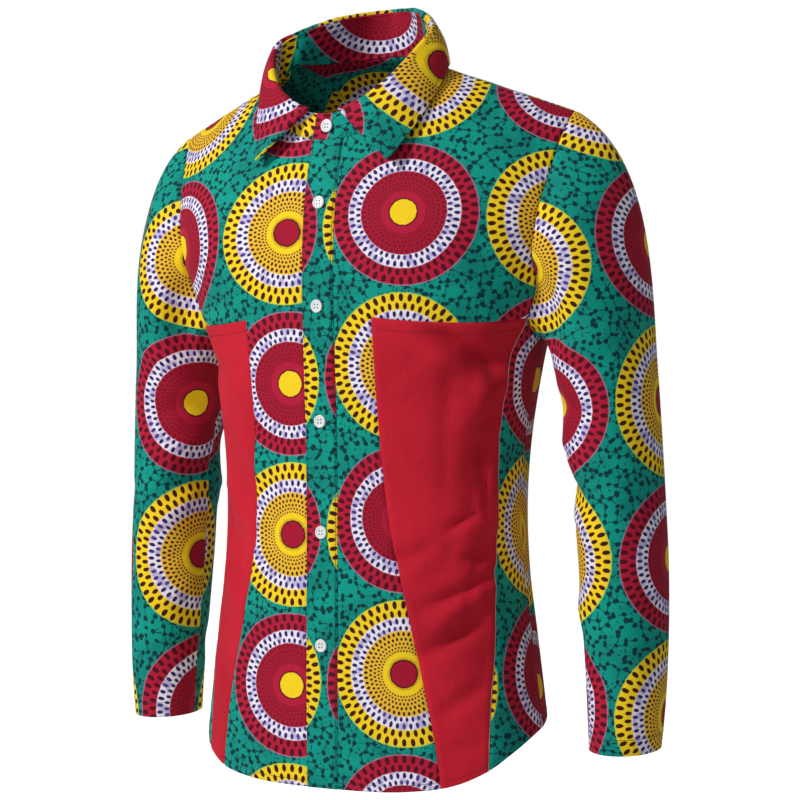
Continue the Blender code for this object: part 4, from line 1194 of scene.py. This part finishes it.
COLLAR_CLOTH = 0.0016
NECK_HUB = (0.0, -0.03)
# Station from the centre front (0) to the centre back (1), fold x, y, z, leaf edge x, y, z
COLLAR = (
    (0.00, 0.0000, -0.0965, -0.0400, 0.0640, -0.1115, -0.0935),
    (0.07, 0.0150, -0.0955, -0.0385, 0.0715, -0.1110, -0.0905),
    (0.21, 0.0400, -0.0925, -0.0280, 0.0830, -0.0920, -0.0670),
    (0.32, 0.0605, -0.0850, -0.0105, 0.0915, -0.0780, -0.0460),
    (0.42, 0.0755, -0.0700, 0.0140, 0.0980, -0.0610, -0.0220),
    (0.54, 0.0815, -0.0430, 0.0420, 0.0985, -0.0380, 0.0040),
    (0.62, 0.0680, -0.0240, 0.0540, 0.0865, -0.0140, 0.0120),
    (0.75, 0.0450, 0.0000, 0.0670, 0.0640, 0.0150, 0.0235),
    (0.88, 0.0220, 0.0240, 0.0745, 0.0350, 0.0430, 0.0285),
    (1.00, 0.0000, 0.0370, 0.0775, 0.0000, 0.0590, 0.0270),
)
FOLD_RADIUS = 0.0028
LEAF_BELLY = 0.003
STAND_PRINT = (0.0252, -0.0137)
STAND_STRETCH = np.array([1.2, 1.0])
LEAF_PRINT = (0.0227, 0.0193)
LEAF_TURN = math.radians(21.7)
LEAF_STRETCH = 1.08


def collar_line(station, side, first_column):
    x = smooth_value(COLLAR, first_column, np.abs(station)) * np.where(station < 0, -side, side)
    y = smooth_value(COLLAR, first_column + 1, np.abs(station))
    z = smooth_value(COLLAR, first_column + 2, np.abs(station))
    return np.stack([x, y, z], axis=-1)


def away_from_neck(line):
    along = np.gradient(line, axis=0)
    away = np.stack([-along[:, 1], along[:, 0], np.zeros(len(line))], axis=1)
    facing = ((line - np.array([*NECK_HUB, 0.0])) * away).sum(axis=1, keepdims=True)
    return unit(away * np.sign(facing))


neck_seam = np.concatenate([
    strip_worn[-1, ::-1],
    left_worn[neck_row + 1 :, 0],
    rear_worn[-1, neck_columns][1:],
    right_worn[neck_row:-1, 0][::-1],
    lap_worn[-1, 1:],
])
gone = length_gone(neck_seam)
back_place = gone[np.argmax(neck_seam[:, 1])]
strip_count = len(STRIP)
front_place = np.interp(0.0, neck_seam[:strip_count, 0], gone[:strip_count])
station = 1.0 - np.abs(gone - back_place) / (back_place - front_place)
way = np.where(gone <= back_place, 1.0, -1.0)
stand_top = collar_line(station, way, 1) - np.array([0.0, 0.0, FOLD_RADIUS])
stand_top[:, 1] += UNDERLAP_DEPTH * np.where((way < 0) & (gone > gone[-len(LAP)]), 1.0, 0.0)
rise_shares = uneven(8)
stand = np.array([neck_seam + (stand_top - neck_seam) * share for share in rise_shares])
middle_station = int(np.argmax(neck_seam[:, 1]))
stand_flat = laid_flat(stand, row=len(stand) - 1, column=middle_station, most=24, level=True) * [-1.0, 1.0]
seam(stand_top)
sew_up(
    "collar_stand_cloth",
    [(stand, stand_flat, (stand_flat + STAND_PRINT) / STAND_STRETCH, None)],
    COLLAR_CLOTH, print_cloth, "collar_stand", hub=NECK_HUB,
)

first_leaf = strip_count - 1
last_leaf = len(neck_seam) - len(LAP)
leaf_span = slice(first_leaf, last_leaf + 1)
away = away_from_neck(stand_top)
centre = stand_top + away * FOLD_RADIUS
up = np.array([0.0, 0.0, 1.0])
leaf = [stand_top]
for turned in (0.4, 0.8, 1.2, 1.6, 2.0, 2.4):
    leaf.append(centre + FOLD_RADIUS * (up * math.sin(turned) - away * math.cos(turned)))
leaf_edge = collar_line(station, way, 4)
lean = unit(leaf_edge - leaf[-1])
bulge = unit(np.cross(lean, np.cross(away, lean)))
fold_end = leaf[-1]
for share in uneven(26)[1:]:
    leaf.append(fold_end + (leaf_edge - fold_end) * share + bulge * math.sin(math.pi * share) * LEAF_BELLY)
leaf = np.array(leaf)[:, leaf_span]
leaf_flat = laid_flat(leaf, row=6, column=middle_station - first_leaf, most=26, level=True)
leaf_flat = leaf_flat * [1.0, -1.0] + LEAF_PRINT
near_disc = np.array([-DISC_PITCH, 0.0])
turned = np.array([[math.cos(LEAF_TURN), math.sin(LEAF_TURN)], [-math.sin(LEAF_TURN), math.cos(LEAF_TURN)]])
leaf_place = (leaf_flat - near_disc) / LEAF_STRETCH @ turned + near_disc
sew_up(
    "collar_leaf_cloth",
    [(leaf, leaf_flat, leaf_place, None)],
    COLLAR_CLOTH, print_cloth, "collar_fall", hub=NECK_HUB,
)

# Buttons: turned white shell with four holes, one on the stand and five down the placket.
# The part's own buttons are kept, and only this material is laid on them.

SHELL_WHITE = (0.86, 0.86, 0.84, 1.0)
SHELL_GREY = (0.74, 0.76, 0.77, 1.0)


def shell_material():
    material, tree, shader = new_material("white_shell_button")
    place = add_node(tree, "TexCoord").outputs["Object"]
    cloud = noise(tree, place, 320.0, 3.0).outputs[0]
    nacre = painted(tree, cloud, SHELL_WHITE, SHELL_GREY)
    tree.links.new(nacre, shader.inputs["Base Color"])
    tree.links.new(mapped(tree, cloud, 0.0, 1.0, 0.16, 0.34), shader.inputs["Roughness"])
    bump = add_node(tree, "Bump", {"Height": cloud, "Strength": 0.3, "Distance": 0.0002})
    tree.links.new(bump.outputs[0], shader.inputs["Normal"])
    shader.inputs["Coat Weight"].default_value = 0.4
    return material


shell = shell_material()
for number in range(1, 7):
    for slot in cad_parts[f"button_{number}"].material_slots:
        slot.material = shell

# Thread: rows of small stitches along the placket, the hem, the yoke, the cuffs and the
# collar's edge, red ones on the panels, and a pale piping down each panel's outer edge.
# Near-black thread ties fill the buttons' holes. Their dark is partly the thread's own colour and partly
# painted shade deep in the holes.

THREAD_DARK_AND_HOLE_SHADE = (0.012, 0.016, 0.022, 1.0)
THREAD_RED = (0.170, 0.004, 0.012, 1.0)
THREAD_PALE = (0.620, 0.300, 0.270, 1.0)
# How far inside its edge each row runs, and how far it stands off the cloth
HEM_ROW = 0.006
CUFF_ROW = 0.015
SEAM_ROW = 0.0022
LEAF_ROW = 0.005
PANEL_TOP_ROW = 0.0105
PANEL_SIDE_ROW = 0.0024
PIPING_ROW = 0.0004
STITCH_LIFT = 0.0001
PIPING_LIFT = 0.0002
CLOTH_REACH = 0.004


def thread_material(name, colour):
    material, tree, shader = new_material(name)
    place = add_node(tree, "TexCoord").outputs["Object"]
    lit = mapped(tree, noise(tree, place, 1900.0).outputs[0], 0.3, 0.7, 0.75, 1.2)
    tree.links.new(scaled(tree, colour[:3], lit), shader.inputs["Base Color"])
    shader.inputs["Roughness"].default_value = 0.7
    return material


def stitch_tree():
    """Geometry nodes that lay one short thread after another along each line."""
    tree = bpy.data.node_groups.new("stitch_row", "GeometryNodeTree")
    tree.interface.new_socket("Geometry", in_out="INPUT", socket_type="NodeSocketGeometry")
    for label, kind in (("Step", "Float"), ("Length", "Float"), ("Radius", "Float"), ("Seed", "Int")):
        tree.interface.new_socket(label, in_out="INPUT", socket_type="NodeSocket" + kind)
    tree.interface.new_socket("Material", in_out="INPUT", socket_type="NodeSocketMaterial")
    tree.interface.new_socket("Geometry", in_out="OUTPUT", socket_type="NodeSocketGeometry")
    nodes, link = tree.nodes, tree.links.new
    given, result = nodes.new("NodeGroupInput"), nodes.new("NodeGroupOutput")
    curve = nodes.new("GeometryNodeMeshToCurve")
    points = nodes.new("GeometryNodeCurveToPoints")
    points.mode = "LENGTH"
    stitch = nodes.new("GeometryNodeMeshCylinder")
    stitch.inputs["Vertices"].default_value = 6
    size = nodes.new("FunctionNodeRandomValue")
    size.data_type = "FLOAT"
    size.inputs[2].default_value = 0.88
    size.inputs[3].default_value = 1.12
    placed = nodes.new("GeometryNodeInstanceOnPoints")
    real = nodes.new("GeometryNodeRealizeInstances")
    coloured = nodes.new("GeometryNodeSetMaterial")
    link(given.outputs["Geometry"], curve.inputs[0])
    link(curve.outputs[0], points.inputs["Curve"])
    link(given.outputs["Step"], points.inputs["Length"])
    link(given.outputs["Radius"], stitch.inputs["Radius"])
    link(given.outputs["Length"], stitch.inputs["Depth"])
    link(given.outputs["Seed"], size.inputs["Seed"])
    link(points.outputs["Points"], placed.inputs["Points"])
    link(points.outputs["Rotation"], placed.inputs["Rotation"])
    link(stitch.outputs["Mesh"], placed.inputs["Instance"])
    link(size.outputs[1], placed.inputs["Scale"])
    link(placed.outputs[0], real.inputs[0])
    link(real.outputs[0], coloured.inputs["Geometry"])
    link(given.outputs["Material"], coloured.inputs["Material"])
    link(coloured.outputs[0], result.inputs[0])
    return tree


stitch_row = stitch_tree()


def lay_thread(name, lines, material, step, length, radius):
    """One mesh of thread along the lines, each a list of points on the cloth."""
    path = bpy.data.meshes.new(name + "_path")
    corners = np.concatenate(lines)
    edges, first = [], 0
    for line in lines:
        edges += [(first + i, first + i + 1) for i in range(len(line) - 1)]
        first += len(line)
    path.from_pydata(corners.tolist(), edges, [])
    guide = bpy.data.objects.new(name + "_path", path)
    scene.collection.objects.link(guide)
    modifier = guide.modifiers.new("Stitches", "NODES")
    modifier.node_group = stitch_row
    values = {"Step": step, "Length": length, "Radius": radius, "Seed": 7, "Material": material}
    for item in stitch_row.interface.items_tree:
        if item.in_out == "INPUT" and item.name in values:
            modifier[item.identifier] = values[item.name]
    depsgraph = bpy.context.evaluated_depsgraph_get()
    data = bpy.data.meshes.new_from_object(guide.evaluated_get(depsgraph), depsgraph=depsgraph)
    guide.modifiers.remove(modifier)
    bpy.data.objects.remove(guide)
    data.name = name
    thread = bpy.data.objects.new(name, data)
    scene.collection.objects.link(thread)
    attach(thread, "root")


def inside_edge(grid, distance):
    """The line that runs at a distance inside a grid's first column."""
    line = []
    for row in grid:
        gone = length_gone(row)
        line.append([np.interp(distance, gone, row[:, k]) for k in range(3)])
    return np.array(line)


def from_edge(grid, edge):
    """The grid turned so that the named edge is its first column."""
    if edge in ("first", "last"):
        return grid if edge == "first" else grid[:, ::-1]
    return (grid if edge == "low" else grid[::-1]).swapaxes(0, 1)


cloth_trees = {}


def on_cloth(piece_name, line, lift, hub):
    """The line's points brought onto the outside of a piece of cloth."""
    if piece_name not in cloth_trees:
        depsgraph = bpy.context.evaluated_depsgraph_get()
        cloth_trees[piece_name] = BVHTree.FromObject(bpy.data.objects[piece_name], depsgraph)
    tree = cloth_trees[piece_name]
    placed = []
    for point in line:
        at = Vector(point)
        _, normal, _, _ = tree.find_nearest(at)
        away = Vector((at.x - hub[0], at.y - hub[1], 0.0))
        if normal.dot(away) < 0:
            normal = -normal
        hit, _, _, _ = tree.ray_cast(at + normal * CLOTH_REACH, -normal, 2 * CLOTH_REACH)
        placed.append((hit if hit else at) + normal * lift)
    return np.array(placed)


def edge_row(piece_name, grid, edge, distance, lift=STITCH_LIFT, hub=(0.0, 0.0)):
    """The row that runs on a piece of cloth at a distance inside one edge of its grid."""
    return on_cloth(piece_name, inside_edge(from_edge(grid, edge), distance), lift, hub)


print_lines, red_lines, pale_lines = [], [], []
for edge in ("first", "last"):
    print_lines.append(edge_row("placket_cloth", strip_worn, edge, SEAM_ROW))
for side, worn in (("left", left_worn), ("right", right_worn)):
    printed, plain = worn[:, : len(PRINT)], worn[: len(LOW), len(PRINT) - 1 :]
    print_lines.append(edge_row(f"front_{side}_cloth", printed, "low", HEM_ROW))
    cloth_name = f"red_panel_{side}_cloth"
    for edge, distance in (("low", HEM_ROW), ("high", PANEL_TOP_ROW), ("last", PANEL_SIDE_ROW)):
        red_lines.append(edge_row(cloth_name, plain, edge, distance))
    pale_lines.append(edge_row(cloth_name, plain, "last", PIPING_ROW, PIPING_LIFT))
print_lines.append(edge_row("back_cloth", rear_worn, "low", HEM_ROW))
print_lines.append(edge_row("back_cloth", rear_worn[yoke_row:], "low", SEAM_ROW))
for worn in (near_worn, far_worn):
    print_lines.append(edge_row("back_cloth", worn, "low", HEM_ROW))
for side, worn in sleeves.items():
    middle = worn[-1].mean(axis=0)
    row = edge_row(f"sleeve_{side}_cloth", worn, "high", CUFF_ROW, hub=(middle[0], middle[1]))
    print_lines.append(row)
print_lines.append(edge_row("collar_leaf_cloth", leaf, "high", LEAF_ROW, hub=NECK_HUB))

# Piece, its lines, its thread and colour, the cloth's slot, step, length and radius
for name, lines, thread_name, colour, slot_name, step, length, radius in (
    ("print_stitches", print_lines, "dark_thread_and_hole_shade", THREAD_DARK_AND_HOLE_SHADE, "printed_cotton", 0.0030, 0.0021, 0.00022),
    ("panel_stitches", red_lines, "red_thread", THREAD_RED, "plain_cotton", 0.0030, 0.0022, 0.00022),
    ("panel_piping", pale_lines, "pale_thread", THREAD_PALE, "plain_cotton", 0.0016, 0.0019, 0.00040),
):
    lay_thread(name, lines, thread_material(thread_name, colour), step, length, radius)

# Ties in each button's four holes: near-black thread, which also serves as painted shade deep in the holes.
BUTTON_HOLE_SPREAD = 0.0022
TIE_AND_SHADE_LIFT = 0.0005
TIE_AND_SHADE_FOOT_RADIUS = 0.00078
TIE_AND_SHADE_TOP_RADIUS = 0.00072
TIE_AND_SHADE_HEIGHT = 0.0006
tie_and_shade_mesh = bmesh.new()
for number in range(1, 7):
    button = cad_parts[f"button_{number}"]
    spots = np.array([tuple(button.matrix_world @ vert.co) for vert in button.data.vertices])
    middle = (spots.min(axis=0) + spots.max(axis=0)) / 2
    facing = np.linalg.svd(spots - spots.mean(axis=0))[2][2]
    facing = Vector(facing * (-1.0 if facing[1] > 0 else 1.0))
    turned_to = facing.to_track_quat("Z", "Y")
    for quarter in range(4):
        angle = math.radians(45 + 90 * quarter)
        out = turned_to @ Vector((math.cos(angle), math.sin(angle), 0.0)) * BUTTON_HOLE_SPREAD
        at = Vector(middle) + out + facing * TIE_AND_SHADE_LIFT
        spin = Matrix.Translation(at) @ turned_to.to_matrix().to_4x4()
        bmesh.ops.create_cone(
            tie_and_shade_mesh,
            cap_ends=True,
            segments=8,
            radius1=TIE_AND_SHADE_FOOT_RADIUS,
            radius2=TIE_AND_SHADE_TOP_RADIUS,
            depth=TIE_AND_SHADE_HEIGHT,
            matrix=spin,
        )
tie_and_shade_data = bpy.data.meshes.new("button_ties_and_hole_shade")
tie_and_shade_mesh.to_mesh(tie_and_shade_data)
tie_and_shade_mesh.free()
ties_and_hole_shade = bpy.data.objects.new("button_ties_and_hole_shade", tie_and_shade_data)
scene.collection.objects.link(ties_and_hole_shade)
tie_and_shade_data.materials.append(bpy.data.materials["dark_thread_and_hole_shade"])
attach(ties_and_hole_shade, "root")

# Studio: a seamless pale floor and sky, a hard lamp from the front right of the wearer with
# weaker ones in front, beside and behind, and the camera at the photograph's place.

CAMERA_TURN = math.radians(28.0)
CAMERA_AWAY = 2.09
CAMERA_SHIFT = 0.0228
CAMERA_HEIGHT = -0.315
SENSOR_WIDTH = 36.0
LENS_PIXELS = 2110
PICTURE_PIXELS = 800
CAMERA_LENS = LENS_PIXELS / PICTURE_PIXELS * SENSOR_WIDTH
FLOOR_LEVEL = -1.5
FLOOR_RADIUS = 14.0
FLOOR_GLOW = 0.05
SKY_GLOW = 0.15
LAMPS_AIM_HEIGHT = -0.3
across = Vector((math.cos(CAMERA_TURN), math.sin(CAMERA_TURN), 0.0))
ahead = Vector((-math.sin(CAMERA_TURN), math.cos(CAMERA_TURN), 0.0))
aim = across * CAMERA_SHIFT + Vector((0.0, 0.0, CAMERA_HEIGHT))
camera = bpy.data.objects.new("camera", bpy.data.cameras.new("camera"))
camera.data.sensor_width = SENSOR_WIDTH
camera.data.lens = CAMERA_LENS
camera.location = aim - ahead * CAMERA_AWAY
camera.rotation_euler = ahead.to_track_quat("-Z", "Y").to_euler()
scene.collection.objects.link(camera)
scene.camera = camera


def floor_material():
    material, tree, shader = new_material("studio_white")
    shader.inputs["Base Color"].default_value = (0.80, 0.80, 0.80, 1.0)
    shader.inputs["Roughness"].default_value = 0.9
    shader.inputs["Specular IOR Level"].default_value = 0.1
    shader.inputs["Emission Color"].default_value = (1.0, 1.0, 1.0, 1.0)
    seen = add_node(tree, "LightPath").outputs["Is Camera Ray"]
    tree.links.new(mapped(tree, seen, 0.0, 1.0, FLOOR_GLOW, 1.0), shader.inputs["Emission Strength"])
    return material


floor_mesh = bmesh.new()
bmesh.ops.create_circle(floor_mesh, cap_ends=True, segments=96, radius=FLOOR_RADIUS)
for vert in floor_mesh.verts:
    vert.co.z = FLOOR_LEVEL
floor_data = bpy.data.meshes.new("studio_floor")
floor_mesh.to_mesh(floor_data)
floor_mesh.free()
floor = bpy.data.objects.new("studio_floor", floor_data)
floor_data.materials.append(floor_material())
scene.collection.objects.link(floor)


def soft_light(name, turn, height, away, size, power):
    """A round lamp facing the shirt's middle, turned round it from the centre front."""
    lamp = bpy.data.lights.new(name, "AREA")
    lamp.shape = "DISK"
    lamp.size = size
    lamp.energy = power
    place = bpy.data.objects.new(name, lamp)
    angle = math.radians(turn)
    place.location = Vector((math.sin(angle) * away, -math.cos(angle) * away, height))
    aimed = Vector((0.0, 0.0, LAMPS_AIM_HEIGHT)) - place.location
    place.rotation_euler = aimed.to_track_quat("-Z", "Y").to_euler()
    scene.collection.objects.link(place)


soft_light("key_light", -30.0, 1.6, 3.0, 0.7, 96.0)
soft_light("front_light", 10.0, 0.1, 3.0, 1.2, 14.0)
soft_light("side_light", 110.0, 0.9, 3.0, 1.0, 6.0)
soft_light("back_light", 195.0, 1.1, 3.0, 1.8, 34.0)
world = bpy.data.worlds.new("studio_world")
world.use_nodes = True
sky = world.node_tree
sky.nodes["Background"].inputs["Color"].default_value = (1.0, 1.0, 1.0, 1.0)
seen_sky = add_node(sky, "LightPath").outputs["Is Camera Ray"]
sky.links.new(mapped(sky, seen_sky, 0.0, 1.0, SKY_GLOW, 1.0), sky.nodes["Background"].inputs["Strength"])
scene.world = world
scene.view_settings.view_transform = "Standard"
